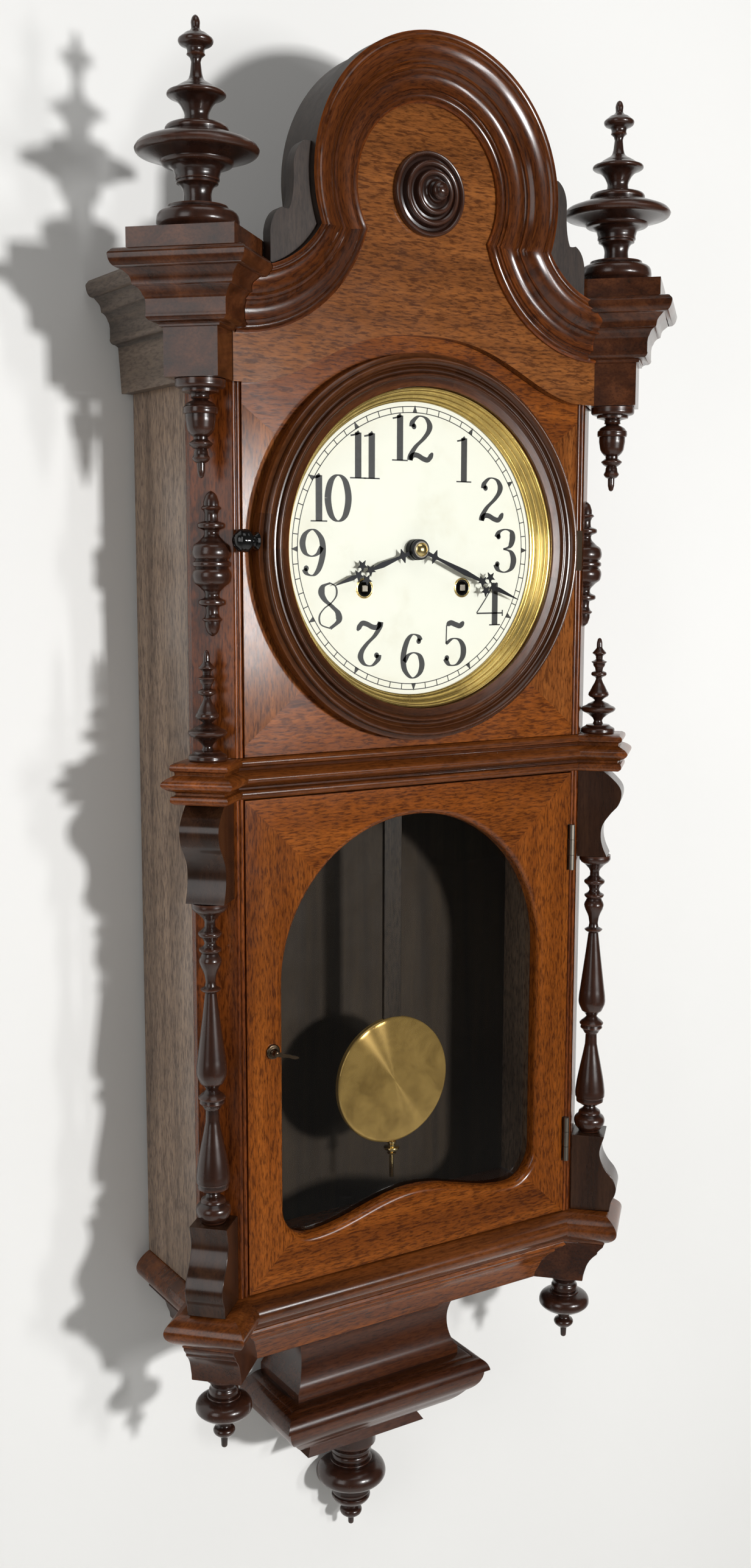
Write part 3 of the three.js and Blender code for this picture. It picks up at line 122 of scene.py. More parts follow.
class Nodes:
    """Short hand for building one material's node tree."""

    def __init__(self, name):
        self.material = bpy.data.materials.new(name)
        self.material.use_nodes = True
        self.tree = self.material.node_tree
        self.tree.nodes.clear()
        self.output = self.add("ShaderNodeOutputMaterial")
        self.coords = self.add("ShaderNodeTexCoord").outputs["Object"]

    def add(self, kind, **settings):
        node = self.tree.nodes.new(kind)
        for key, value in settings.items():
            setattr(node, key, value)
        return node

    def link(self, source, target):
        self.tree.links.new(source, target)

    def stretch(self, scale, move=(0.0, 0.0, 0.0)):
        node = self.add("ShaderNodeMapping")
        node.inputs["Scale"].default_value = scale
        node.inputs["Location"].default_value = move
        self.link(self.coords, node.inputs["Vector"])
        return node.outputs["Vector"]

    def feed(self, socket, value):
        """Sets a socket to a number or colour, or links another socket to it."""
        if isinstance(value, (int, float)):
            socket.default_value = value
        elif isinstance(value, tuple):
            socket.default_value = (*value, 1.0)
        else:
            self.link(value, socket)

    def noise(self, vector, detail, rough=0.55, distort=0.0):
        node = self.add("ShaderNodeTexNoise")
        node.inputs["Scale"].default_value = 1.0
        node.inputs["Detail"].default_value = detail
        node.inputs["Roughness"].default_value = rough
        node.inputs["Distortion"].default_value = distort
        self.link(vector, node.inputs["Vector"])
        return node.outputs["Fac"]

    def even_noise(self, scale, detail, rough=0.55, distort=0.0):
        """Noise with the same scale along every axis."""
        return self.noise(self.stretch((scale, scale, scale)), detail, rough, distort)

    def ramp(self, factor, stops):
        node = self.add("ShaderNodeValToRGB")
        elements = node.color_ramp.elements
        while len(elements) < len(stops):
            elements.new(0.5)
        for element, (place, color) in zip(elements, stops):
            element.position = place
            element.color = (*color, 1.0)
        self.link(factor, node.inputs["Fac"])
        return node.outputs["Color"]

    def fade(self, factor, low, high, most):
        """Grey that rises from nothing at low to the most at high."""
        return self.ramp(factor, [(low, (0.0, 0.0, 0.0)), (high, (most, most, most))])

    def mix(self, factor, first, second, mode="MIX"):
        node = self.add("ShaderNodeMix", data_type="RGBA", blend_type=mode)
        self.feed(node.inputs[0], factor)
        self.feed(node.inputs[6], first)
        self.feed(node.inputs[7], second)
        return node.outputs[2]

    def span(self, factor, low, high):
        node = self.add("ShaderNodeMapRange")
        node.inputs["To Min"].default_value = low
        node.inputs["To Max"].default_value = high
        self.link(factor, node.inputs["Value"])
        return node.outputs["Result"]

    def bump(self, height, strength, distance, onto=None):
        node = self.add("ShaderNodeBump")
        node.inputs["Strength"].default_value = strength
        node.inputs["Distance"].default_value = distance
        self.link(height, node.inputs["Height"])
        if onto is not None:
            self.link(onto, node.inputs["Normal"])
        return node.outputs["Normal"]

    def surface(self, color, roughness, normal=None, **fixed):
        shader = self.add("ShaderNodeBsdfPrincipled")
        self.feed(shader.inputs["Base Color"], color)
        self.feed(shader.inputs["Roughness"], roughness)
        if normal is not None:
            self.link(normal, shader.inputs["Normal"])
        for name, value in fixed.items():
            shader.inputs[name.replace("_", " ")].default_value = value
        self.link(shader.outputs["BSDF"], self.output.inputs["Surface"])
        return self.material


def wood(
    name, tones, grain="z", shift=0.0, gloss=(0.17, 0.26), coat=0.0, fleck_depth=0.8, mottle=0.35, edges=0.0,
):
    """Varnished timber: soft figure, short dark flecks along the grain and a film that isn't even. On
    mouldings, edges sets painted shade that darkens the hollows and a lightening of the convex edges. The
    grain runs along x, y or z, or along the first value of the UV map."""
    n = Nodes(name)
    if grain == "u":
        n.coords = n.add("ShaderNodeTexCoord").outputs["UV"]
    move = (shift, shift * 0.37, shift * 0.71)

    def along(across, lengthways):
        scale = [across, across, across]
        scale[{"u": 0, "x": 0, "y": 1, "z": 2}[grain]] = lengthways
        return n.stretch(scale, move)

    figure = n.noise(along(75, 4), 6, 0.6, 0.5)
    broad = n.noise(along(14, 5), 3, 0.5, 0.4)
    fleck = n.noise(along(720, 135), 3, 0.6, 0.4)
    pore = n.noise(along(2000, 200), 1, 0.5)
    color = n.ramp(figure, [(0.3, tones[0]), (0.5, tones[1]), (0.7, tones[2])])
    clouds = n.ramp(broad, [(0.3, (0.6, 0.56, 0.5)), (0.7, (1.3, 1.28, 1.24))])
    color = n.mix(mottle, color, clouds, "MULTIPLY")
    flecks = n.ramp(fleck, [(0.38, (0.34, 0.27, 0.24)), (0.5, (0.98, 0.97, 0.96)), (0.64, (1.3, 1.24, 1.12))])
    color = n.mix(fleck_depth, color, flecks, "MULTIPLY")
    holes = n.ramp(pore, [(0.34, (0.45, 0.38, 0.34)), (0.44, (1.0, 1.0, 1.0))])
    color = n.mix(0.6 * fleck_depth, color, holes, "MULTIPLY")
    # Painted shade: faces with low pointiness in the hollows are darkened, and high pointiness lightens the
    # convex edges
    if edges:
        edge = n.add("ShaderNodeNewGeometry").outputs["Pointiness"]
        hollow_shade_and_light_edges = n.ramp(edge, [
            (0.42, (0.25, 0.2, 0.16)), (0.49, (0.95, 0.94, 0.93)),
            (0.52, (1.0, 1.0, 1.0)), (0.6, (2.0, 1.8, 1.5)),
        ])
        color = n.mix(edges, color, hollow_shade_and_light_edges, "MULTIPLY")
    film = n.even_noise(60, 3, 0.6)
    normal = n.bump(fleck, 0.1 * fleck_depth, 0.0002)
    normal = n.bump(n.even_noise(26, 2), 0.05, 0.0006, normal)
    return n.surface(
        color, n.span(film, *gloss), normal, Specular_IOR_Level=0.38,
        Coat_Weight=coat, Coat_Roughness=0.12, Coat_IOR=1.5,
    )


def turned_wood(name, dark, light, worn):
    """Nearly black turned wood with a full gloss varnish, rubbed redder on its edges."""
    n = Nodes(name)
    grain = n.noise(n.stretch((160, 160, 16)), 5, 0.65, 0.4)
    color = n.ramp(grain, [(0.32, dark), (0.68, light)])
    edge = n.add("ShaderNodeNewGeometry").outputs["Pointiness"]
    rub = n.fade(edge, 0.5, 0.58, 0.6)
    color = n.mix(rub, color, worn)
    film = n.even_noise(90, 3, 0.6)
    normal = n.bump(n.noise(n.stretch((240, 240, 40)), 3), 0.08, 0.0002)
    gloss = n.span(film, 0.2, 0.32)
    return n.surface(color, gloss, normal, Coat_Weight=0.25, Coat_Roughness=0.12, Coat_IOR=1.5)


def metal(name, color, tarnish, roughness, amount=0.5):
    """Metal with a patchy tarnish and fine rubbing marks."""
    n = Nodes(name)
    patch = n.even_noise(45, 5, 0.65)
    tone = n.mix(n.fade(patch, 0.42, 0.7, amount), color, tarnish)
    marks = n.even_noise(200, 4, 0.7)
    return n.surface(tone, n.span(patch, *roughness), n.bump(marks, 0.06, 0.0002), Metallic=1.0)


def spun_metal(name, color, tarnish, roughness, age=0.7, shine=1.0):
    """Sheet brass turned on a lathe: its highlight is drawn out into a line through the middle."""
    n = Nodes(name)
    patch = n.even_noise(42, 7, 0.72, 0.4)
    fine = n.even_noise(400, 3, 0.7)
    tone = n.mix(n.fade(patch, 0.4, 0.66, age), color, tarnish)
    shader_normal = n.bump(fine, 0.04, 0.0001)
    gloss = n.span(patch, roughness - 0.05, roughness + 0.08)
    material = n.surface(tone, gloss, shader_normal, Metallic=shine)
    tangent = n.add("ShaderNodeTangent", direction_type="RADIAL", axis="Y")
    shader = next(node for node in n.tree.nodes if node.type == "BSDF_PRINCIPLED")
    shader.inputs["Anisotropic"].default_value = 0.98
    shader.inputs["Anisotropic Rotation"].default_value = 0.25
    n.link(tangent.outputs["Tangent"], shader.inputs["Tangent"])
    return material


def paint(name, color, stain, roughness, amount=0.35, scale=30):
    """Painted or enamelled surface with faint stains."""
    n = Nodes(name)
    patch = n.even_noise(scale, 6, 0.7)
    tone = n.mix(n.fade(patch, 0.52, 0.78, amount), color, stain)
    fine = n.even_noise(600, 2)
    return n.surface(tone, n.span(patch, *roughness), n.bump(fine, 0.05, 0.0001))


def clear_glass(name):
    """Thin old glass: see-through, with a reflection that grows at a slant and a slight wave."""
    n = Nodes(name)
    wave = n.bump(n.even_noise(7, 2), 0.02, 0.002)
    fresnel = n.add("ShaderNodeFresnel")
    fresnel.inputs["IOR"].default_value = 1.5
    n.link(wave, fresnel.inputs["Normal"])
    # The far face of the pane sends nothing back, as light meets it from inside the glass
    back = n.add("ShaderNodeNewGeometry").outputs["Backfacing"]
    share = n.mix(back, fresnel.outputs["Fac"], (0.0, 0.0, 0.0))
    shine = n.add("ShaderNodeBsdfGlossy")
    dust = n.even_noise(80, 4)
    n.link(n.span(dust, 0.01, 0.05), shine.inputs["Roughness"])
    n.link(wave, shine.inputs["Normal"])
    through = n.add("ShaderNodeBsdfTransparent")
    tint = n.ramp(dust, [(0.3, (0.985, 0.99, 0.987)), (0.7, (0.995, 0.998, 0.996))])
    n.link(tint, through.inputs["Color"])
    both = n.add("ShaderNodeMixShader")
    n.link(share, both.inputs[0])
    n.link(through.outputs["BSDF"], both.inputs[1])
    n.link(shine.outputs["BSDF"], both.inputs[2])
    n.link(both.outputs["Shader"], n.output.inputs["Surface"])
    return n.material


VENEER = ((0.115, 0.028, 0.003), (0.18, 0.047, 0.005), (0.25, 0.071, 0.009))
PEDIMENT = ((0.125, 0.041, 0.009), (0.185, 0.062, 0.014), (0.25, 0.088, 0.021))
PANEL = ((0.115, 0.034, 0.007), (0.19, 0.058, 0.012), (0.27, 0.09, 0.02))
BROWN = ((0.034, 0.009, 0.002), (0.08, 0.021, 0.004), (0.14, 0.04, 0.008))
FOOT = ((0.02, 0.006, 0.003), (0.04, 0.012, 0.004), (0.064, 0.02, 0.007))
RED = ((0.026, 0.009, 0.003), (0.055, 0.017, 0.005), (0.09, 0.03, 0.009))
DARK = ((0.014, 0.006, 0.003), (0.03, 0.012, 0.006), (0.052, 0.022, 0.01))
SAWN = ((0.015, 0.0095, 0.007), (0.028, 0.018, 0.0135), (0.042, 0.028, 0.021))
DULL = ((0.05, 0.04, 0.034), (0.084, 0.068, 0.059), (0.12, 0.098, 0.086))
SIDE = ((0.15, 0.1, 0.07), (0.25, 0.175, 0.124), (0.335, 0.24, 0.175))
BLOCK = ((0.018, 0.006, 0.0025), (0.045, 0.0145, 0.0055), (0.08, 0.027, 0.01))
# APRON is the tone of the apron's lit front; its shaded faces take FOOT as painted shade
APRON = ((0.09, 0.022, 0.003), (0.155, 0.041, 0.005), (0.22, 0.063, 0.009))
BELT = ((0.05, 0.014, 0.003), (0.115, 0.032, 0.006), (0.19, 0.056, 0.012))
# The inside boards' tones: stained wood, lowered further as painted shade for the dim inside of the case
INSIDE_SHADED_TONES = ((0.018, 0.01, 0.004), (0.03, 0.018, 0.008), (0.044, 0.027, 0.012))
STICK = ((0.012, 0.008, 0.005), (0.03, 0.021, 0.014), (0.048, 0.035, 0.024))
# A wood look's edges value sets how much painted shade darkens its hollows and how much its convex edges are
# lightened
looks = {
    "veneer_up": wood("veneer_upright", VENEER, "z", 3.1),
    "veneer_across": wood("veneer_level", VENEER, "x", 5.3),
    "panel_up": wood("panel_veneer_upright", PANEL, "z", 7.9, gloss=(0.12, 0.2)),
    "panel_across": wood("panel_veneer_level", VENEER, "x", 2.3),
    "pediment": wood("pediment_veneer", PEDIMENT, "x", 1.9),
    "apron": wood("apron_veneer", APRON, "x", 6.7, gloss=(0.18, 0.28)),
    "belt": wood("belt_wood", BELT, "x", 3.3, (0.18, 0.28), 0.1, fleck_depth=0.5, edges=0.9),
    "post": wood("post_veneer", BROWN, "z", 9.7, gloss=(0.2, 0.3), edges=0.6),
    "moulding": wood("moulding_level", BELT, "x", 4.1, (0.16, 0.26), 0.15, fleck_depth=0.5, edges=0.3),
    "dull": wood("aged_moulding_wood", DULL, "y", 6.1, (0.42, 0.55), fleck_depth=0.5, edges=0.6),
    "foot": wood("foot_wood", FOOT, "x", 8.8, (0.2, 0.3), fleck_depth=0.5, edges=0.5),
    "crest": wood("crest_moulding_wood", BROWN, "u", 8.2, (0.15, 0.25), 0.2, 0.7, 0.6, edges=0.9),
    "bezel": wood("bezel_wood", RED, "u", 2.7, (0.15, 0.25), 0.05, fleck_depth=0.4, mottle=0.2, edges=0.9),
    "block": wood("corner_block_wood", BLOCK, "x", 5.9, (0.14, 0.24), 0.1, fleck_depth=0.4, edges=0.35),
    "scroll": wood("bracket_wood", DARK, "z", 3.9, (0.18, 0.28), 0.1, fleck_depth=0.3, mottle=0.2),
    "ear": wood("sawn_ear_wood", SAWN, "z", 1.3, (0.5, 0.65), fleck_depth=0.5),
    "turned": turned_wood(
        "turned_dark_gloss", (0.011, 0.004, 0.0025), (0.03, 0.0105, 0.006), (0.11, 0.036, 0.016),
    ),
    "panel": wood("side_panel_wood", SIDE, "z", 0.7, (0.3, 0.42), 0.3),
    "stick": wood("pendulum_stick_wood", STICK, "z", 2.2, (0.3, 0.4)),
    "inside": wood("inside_stained_wood_with_painted_shade", INSIDE_SHADED_TONES, "z", 4.4, (0.6, 0.8), fleck_depth=0.25),
    "brass": metal("aged_brass", (0.72, 0.52, 0.18), (0.36, 0.25, 0.09), (0.2, 0.34)),
    "brass_bright": metal("bright_brass", (0.8, 0.62, 0.28), (0.5, 0.36, 0.15), (0.14, 0.26), amount=0.3),
    "bob": spun_metal("spun_brass", (0.54, 0.35, 0.105), (0.3, 0.185, 0.05), 0.14, 0.9, shine=0.6),
    "ring": spun_metal("spun_ring_brass", (0.82, 0.6, 0.2), (0.5, 0.34, 0.1), 0.24),
    "steel": metal("dull_steel", (0.2, 0.18, 0.15), (0.1, 0.085, 0.07), (0.34, 0.5)),
    "black_steel": metal("blued_steel", (0.02, 0.02, 0.022), (0.012, 0.012, 0.012), (0.36, 0.5)),
    "bronze": metal("dark_bronze", (0.1, 0.07, 0.045), (0.03, 0.02, 0.015), (0.22, 0.36)),
    "knob": paint("black_gloss_knob", (0.005, 0.005, 0.005), (0.016, 0.016, 0.016), (0.06, 0.14)),
    "dial": paint("cream_enamel", (0.91, 0.905, 0.79), (0.72, 0.67, 0.5), (0.4, 0.55), 0.4, 30),
    "ink": paint("dial_ink", (0.016, 0.016, 0.015), (0.06, 0.06, 0.056), (0.4, 0.6), 0.6, 160),
    "glass": clear_glass("clear_thin_glass"),
}


# Meshes

def mesh_object(name, verts, faces, weld=False):
    """A mesh object from millimetre points, with its faces turned outward."""
    mesh = bpy.data.meshes.new(name)
    mesh.from_pydata([Vector(v) * MM for v in verts], [], faces)
    bm = bmesh.new()
    bm.from_mesh(mesh)
    if weld:
        bmesh.ops.remove_doubles(bm, verts=bm.verts, dist=SAME_SPOT)
        bmesh.ops.dissolve_degenerate(bm, dist=SAME_SPOT, edges=bm.edges)
    bmesh.ops.recalc_face_normals(bm, faces=bm.faces)
    bm.to_mesh(mesh)
    bm.free()
    obj = bpy.data.objects.new(name, mesh)
    bpy.context.scene.collection.objects.link(obj)
    return obj


def make(name, verts, faces, look, body, slot, smooth=35.0):
    """A visible piece that rides on a body."""
    obj = mesh_object(name, verts, faces, weld=True)
    obj.data.materials.append(looks[look])
    shade(obj.data, smooth)
    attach(obj, body)
    return obj


def lay_uv(obj, place):
    """Gives each face corner the (along, across) that a rule finds from the face's middle and the corner."""
    mesh = obj.data
    layer = mesh.uv_layers.new(name="grain").data
    for face in mesh.polygons:
        middle = face.center / MM
        for loop in face.loop_indices:
            corner = mesh.vertices[mesh.loops[loop].vertex_index].co / MM
            along, across = place(middle, corner)
            layer[loop].uv = (along * MM, across * MM)


def shade(mesh, angle):
    mesh.polygons.foreach_set("use_smooth", [True] * len(mesh.polygons))
    mesh.set_sharp_from_angle(angle=math.radians(angle))


def bevel(obj, width, segments=2, angle=40):
    """Rounds the edges by a width in millimetres, keeping flat faces flat."""
    mod = obj.modifiers.new("edges", "BEVEL")
    mod.width = width * MM
    mod.segments = segments
    mod.limit_method = "ANGLE"
    mod.angle_limit = math.radians(angle)
    mod.harden_normals = True
    return obj


def carve(obj, *cutters):
    """Cuts other meshes out of an object for good, and removes them."""
    for cutter in cutters:
        mod = obj.modifiers.new("cut", "BOOLEAN")
        mod.object = cutter
        mod.operation = "DIFFERENCE"
        mod.solver = "EXACT"
    depsgraph = bpy.context.evaluated_depsgraph_get()
    cut = bpy.data.meshes.new_from_object(obj.evaluated_get(depsgraph))
    obj.modifiers.clear()
    obj.data = cut
    shade(cut, 35)
    for cutter in cutters:
        bpy.data.objects.remove(cutter)
    return obj


def outline(points, steps=6):
    """Corners as (a, b); a third value bulges the stretch up to that corner by that rise."""
    line = []
    for i, point in enumerate(points):
        a, b = point[0], point[1]
        if len(point) == 3:
            a0, b0 = points[i - 1][:2]
            chord = math.hypot(a - a0, b - b0)
            right = ((b - b0) / chord, -(a - a0) / chord)
            for k in range(1, steps):
                t = k / steps
                out = 4 * point[2] * t * (1 - t)
                line.append((a0 + (a - a0) * t + right[0] * out, b0 + (b - b0) * t + right[1] * out))
        line.append((a, b))
    return line


def rings(line, segments, closed=False, start=0.0, sweep=2 * math.pi):
    """Points and faces of a line of (radius, height) turned about the Z axis."""
    full = abs(sweep - 2 * math.pi) < 1e-6
    columns = segments if full else segments + 1
    verts = []
    for r, h in line:
        for k in range(columns):
            a = start + sweep * k / segments
            verts.append((r * math.cos(a), r * math.sin(a), h))
    faces = []
    rows = len(line) if closed else len(line) - 1
    for i in range(rows):
        j = (i + 1) % len(line)
        for k in range(segments):
            m = (k + 1) % columns if full else k + 1
            faces.append((i * columns + k, i * columns + m, j * columns + m, j * columns + k))
    if not full:
        for k in (0, columns - 1):
            faces.append(tuple(i * columns + k for i in range(len(line))))
    return verts, faces


def turn_to_y(verts, y=0.0):
    """Lays points that were turned about Z down so that their axis is Y: height becomes depth."""
    return [(x, y + h, z) for x, z, h in verts]


def close_set(line, reach=1.6):
    """Adds points so that none lie further apart than the reach, which keeps the rubbed colour near the
    edges.
    """
    fine = [line[0]]
    for (r0, h0), (r1, h1) in zip(line, line[1:]):
        count = max(1, math.ceil(math.hypot(r1 - r0, h1 - h0) / reach))
        fine += [(r0 + (r1 - r0) * k / count, h0 + (h1 - h0) * k / count) for k in range(1, count + 1)]
    return fine


def top_of(profile):
    """The height that a profile is drawn to."""
    return profile[-1][1]


def stretched(profile, height):
    """A turning's line at its drawn radius and at the height given."""
    line = close_set(outline(profile))
    radius = max(p[0] for p in profile)
    tall = max(p[1] for p in line)
    wide = max(p[0] for p in line)
    return [(r / wide * radius, h / tall * height) for r, h in line]


def shifted(verts, x=0.0, y=0.0, z=0.0):
    return [(a + x, b + y, c + z) for a, b, c in verts]


def mirror(verts):
    return [(-a, b, c) for a, b, c in verts]


def at_corner(out, front, z=0.0):
    """A point given from the middle of the left canted face: out of it and along it to the front."""
    return (-CORNER_X + (front - out) * HALF, CORNER_Y - (front + out) * HALF, z)


def in_corner(x, y):
    return (-(x + CORNER_X) * HALF - (y - CORNER_Y) * HALF, (x + CORNER_X) * HALF - (y - CORNER_Y) * HALF)


def corner_verts(verts, side):
    """Moves points drawn as (out, front, up) to the left or right corner."""
    placed = [at_corner(a, b, c) for a, b, c in verts]
    return placed if side == "l" else mirror(placed)


def both_sides(left):
    return left + [(-p[0], p[1]) for p in reversed(left)]


def stack(plan, levels):
    """A plan outline whose edges move outward by their own amount at each level."""
    count = len(plan)
    area = sum(
        plan[i][0] * plan[(i + 1) % count][1] - plan[(i + 1) % count][0] * plan[i][1] for i in range(count)
    )
    turn = 1 if area > 0 else -1
    along = []
    for i in range(count):
        p, q = plan[i], plan[(i + 1) % count]
        length = math.hypot(q[0] - p[0], q[1] - p[1])
        along.append(((q[0] - p[0]) / length, (q[1] - p[1]) / length))
    verts = []
    for z, out in levels:
        starts = []
        for i in range(count):
            move = out(i) * turn
            starts.append((plan[i][0] + along[i][1] * move, plan[i][1] - along[i][0] * move))
        for i in range(count):
            p, d = starts[i - 1], along[i - 1]
            q, e = starts[i], along[i]
            cross = d[0] * e[1] - d[1] * e[0]
            t = ((q[0] - p[0]) * e[1] - (q[1] - p[1]) * e[0]) / cross
            verts.append((p[0] + d[0] * t, p[1] + d[1] * t, z))
    faces = []
    for row in range(len(levels) - 1):
        for i in range(count):
            j = (i + 1) % count
            a, b = row * count + i, row * count + j
            faces.append((a, b, b + count, a + count))
    faces.append(tuple(range(count)))
    top = (len(levels) - 1) * count
    faces.append(tuple(top + i for i in range(count)))
    return verts, faces


def prism(points, y0, y1, holes=()):
    """A flat shape in X and Z with thickness from y0 to y1, with holes."""
    loops = [list(points)] + [list(h) for h in holes]
    flat = [[Vector((x, z, 0)) for x, z in loop] for loop in loops]
    triangles = tessellate_polygon(flat)
    spots = [p for loop in loops for p in loop]
    count = len(spots)
    verts = [(x, y0, z) for x, z in spots] + [(x, y1, z) for x, z in spots]
    faces = [tuple(t) for t in triangles] + [tuple(i + count for i in reversed(t)) for t in triangles]
    start = 0
    for loop in loops:
        size = len(loop)
        for i in range(size):
            a, b = start + i, start + (i + 1) % size
            faces.append((a, b, b + count, a + count))
        start += size
    return verts, faces


def cuboid(x0, x1, y0, y1, z0, z1):
    verts = [(x, y, z) for x in (x0, x1) for y in (y0, y1) for z in (z0, z1)]
    faces = [(0, 1, 3, 2), (4, 6, 7, 5), (0, 4, 5, 1), (2, 3, 7, 6), (0, 2, 6, 4), (1, 5, 7, 3)]
    return verts, faces


def circle(radius, count=64, x=0.0, z=0.0):
    return [
        (x + radius * math.cos(2 * math.pi * k / count), z + radius * math.sin(2 * math.pi * k / count))
        for k in range(count)
    ]


# Case

def build_posts():
    """Canted front posts, each with two fine beads beside the door and dial panel."""
    bead_rows = []
    start = -POST_INNER
    stop = -HALF_WIDTH + CANT
    width = (start - stop) / 2
    for bead in range(2):
        base = start - bead * width
        for k in range(7):
            a = math.pi * k / 6
            x = base - width / 2 + width / 2 * 0.92 * math.cos(a)
            bead_rows.append((x, FRONT + 1.1 - 1.1 * math.sin(a)))
    plan = [
        *bead_rows, (-HALF_WIDTH + CANT, FRONT), (-HALF_WIDTH, FRONT + CANT), (-HALF_WIDTH, FRONT + CANT + 5),
        (-146.5, FRONT + CANT + 5), (-POST_INNER, FRONT + 12),
    ]
    for side in "lr":
        verts, faces = stack(plan, [(BASE_TOP + FIT, lambda i: 0), (CASE_TOP, lambda i: 0)])
        if side == "r":
            verts = mirror(verts)
        post = make(f"post_{side}", verts, faces, "post", "case", "veneer", 30)
        spans = (-170, 170, FRONT - 3, FRONT + 3.3, BELT_BOTTOM - FIT, BELT_TOP + FIT)
        notch = mesh_object("notch", *cuboid(*spans))
        carve(post, notch)
        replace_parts(post, f"corner_post_{side}")


def build_belt():
    plan = both_sides([
        (-PANEL_HALF + 0.3, FRONT + 6.5),
        (-PANEL_HALF + 0.3, FRONT + 3),
        at_corner(FIT, CANT_FACE - 3 * math.sqrt(2) - FIT)[:2],
        at_corner(FIT, -15)[:2],
        at_corner(27.4, -15)[:2],
        at_corner(27.4, 15)[:2],
        at_corner(CANT_FACE - 15, 15)[:2],
    ])
    moulded = range(3, 10)
    section = outline([
        (1.2, 0), (3.4, -1.2), (3.4, -4.6, -0.5), (1.4, -5.6), (1.2, -7.6), (2.6, -8.2),
        (2.6, -17.8, -5.7), (1, -18.4), (1, -20), (3.2, -20.8), (3.4, -24.6, -0.5), (1.6, -26),
    ], 10)
    levels = [(BELT_TOP + up, lambda i, p=p: p if i in moulded else 0) for p, up in section]
    belt = make("belt", *stack(plan, levels), "belt", "case", "moulding", 32)
    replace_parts(bevel(belt, 0.25, 1, 50), "belt_moulding")


def base_plan():
    meet = CANT_FACE - 17.2
    return both_sides([
        (-HALF_WIDTH, 0),
        at_corner(meet, -17.2)[:2],
        at_corner(26.6, -17.2)[:2],
        at_corner(26.6, 17.2)[:2],
        at_corner(meet, 17.2)[:2],
    ])


def build_base():
    plan = base_plan()
    back = len(plan) - 1
    section = outline([(0, 0), (1.2, -0.5), (1.2, -22, -8.8), (0.6, -22.4), (0.4, -24)], 18)
    levels = [(BASE_TOP + up, lambda i, p=p: 0 if i == back else p) for p, up in section]
    board = make("base_board_fine", *stack(plan, levels), "moulding", "case", "moulding", 32)
    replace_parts(bevel(board, 0.3, 1, 50), "base_board")
    front_ogee = outline([
        (0, 0), (0.8, -2), (-1.5, -4.4), (-4.6, -6.2), (-6, -9, -0.5), (-13, -21.2, 1.2), (-15, -26),
        (-15.5, -30.2),
    ], 5)
    corbel_ogee = outline([
        (0, 0), (-0.6, -2), (-3, -4.4), (-4.6, -6.2), (-6.2, -9, -0.5), (-13.6, -21.2, 1.2), (-15, -26),
        (-15.4, -30.2),
    ], 5)

    def out(front, corbel):
        def amount(i):
            if i == back or i in (1, 3, 5, 7):
                return 0
            return corbel if i in (2, 6) else front
        return amount

    levels = [(APRON_TOP + f[1], out(f[0], c[0])) for f, c in zip(front_ogee, corbel_ogee)]
    apron = make("base_apron_fine", *stack(plan, levels), "apron", "case", "veneer", 32)
    # Painted shade: the corner faces and every face not turned to the front take the darker foot wood, so
    # only the lit front shows the lighter apron veneer
    apron.data.materials.append(looks["foot"])
    for face in apron.data.polygons:
        face.material_index = int(abs(face.center.x) > 0.125 or face.normal.y > -0.3)
    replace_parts(bevel(apron, 0.35, 1, 50), "base_apron")


def build_foot():
    plan = [(-69.7, 0), (-69.7, -57.1), (69.7, -57.1), (69.7, 0)]
    top = APRON_BOTTOM - FIT
    box = outline([
        (0, 0), (0, -14), (-3.4, -19, 0.5), (-6, -35, 0.8), (-2.4, -52, 0.8), (0, -55), (0, -60.7),
    ], 6)
    lip = outline([(8.3, -62.7, -0.8), (18.1, -71.4, -2.4), (18.1, -72.2), (15, -72.9)], 8)
    cushion = outline([
        (15, -72.9), (5, -90.7, -2.6), (-23, -109.4, -3.2), (-24, -109.8), (-18.4, -FOOT_HEIGHT),
    ], 12)
    section = box + outline([(0, -60.7), (8.3, -62.7, -0.8)], 5)[1:] + lip[1:] + cushion[1:]
    levels = [(top + up, lambda i, p=p: 0 if i == 3 else p) for p, up in section]
    foot = make("bottom_bracket_fine", *stack(plan, levels), "foot", "case", "veneer", 32)
    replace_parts(bevel(foot, 0.3, 1, 50), "bottom_bracket")


# Corner blocks, side cornices and crest

CORNICE = outline([
    (0, 0), (1.9, 0.2), (1.9, 1.2), (5.7, 2.9, -0.4), (8, 5.7, 0.5), (7.7, 6.6), (7.7, 13.4), (7.9, 14.1),
    (9, 17.3, -0.3), (13.7, 22.6, -0.9), (14.2, 25.6), (16.2, 28.7, -0.3), (18.8, 31.2), (23.2, 33.6, 0.8),
    (24.4, 37.4, 0.2), (23.3, 40.4, 0.6), (20.8, 42.2, 0.4), (17.2, 42.7),
], 5)


def block_stack(margin=0.0):
    plan = [(BLOCK_AXIS + a * BLOCK_HALF, b * BLOCK_HALF) for a, b in ((-1, -1), (1, -1), (1, 1), (-1, 1))]
    plinth = PLINTH_HALF - BLOCK_HALF
    levels = [(BLOCK_RISE - margin, lambda i: margin)]
    levels += [(FRIEZE_TOP + up, lambda i, p=p: p + margin) for p, up in CORNICE]
    levels += [
        (FRIEZE_TOP + CORNICE_HEIGHT + 0.1, lambda i: plinth + margin),
        (PLINTH_TOP + margin, lambda i: plinth + margin),
    ]
    return stack(plan, levels)


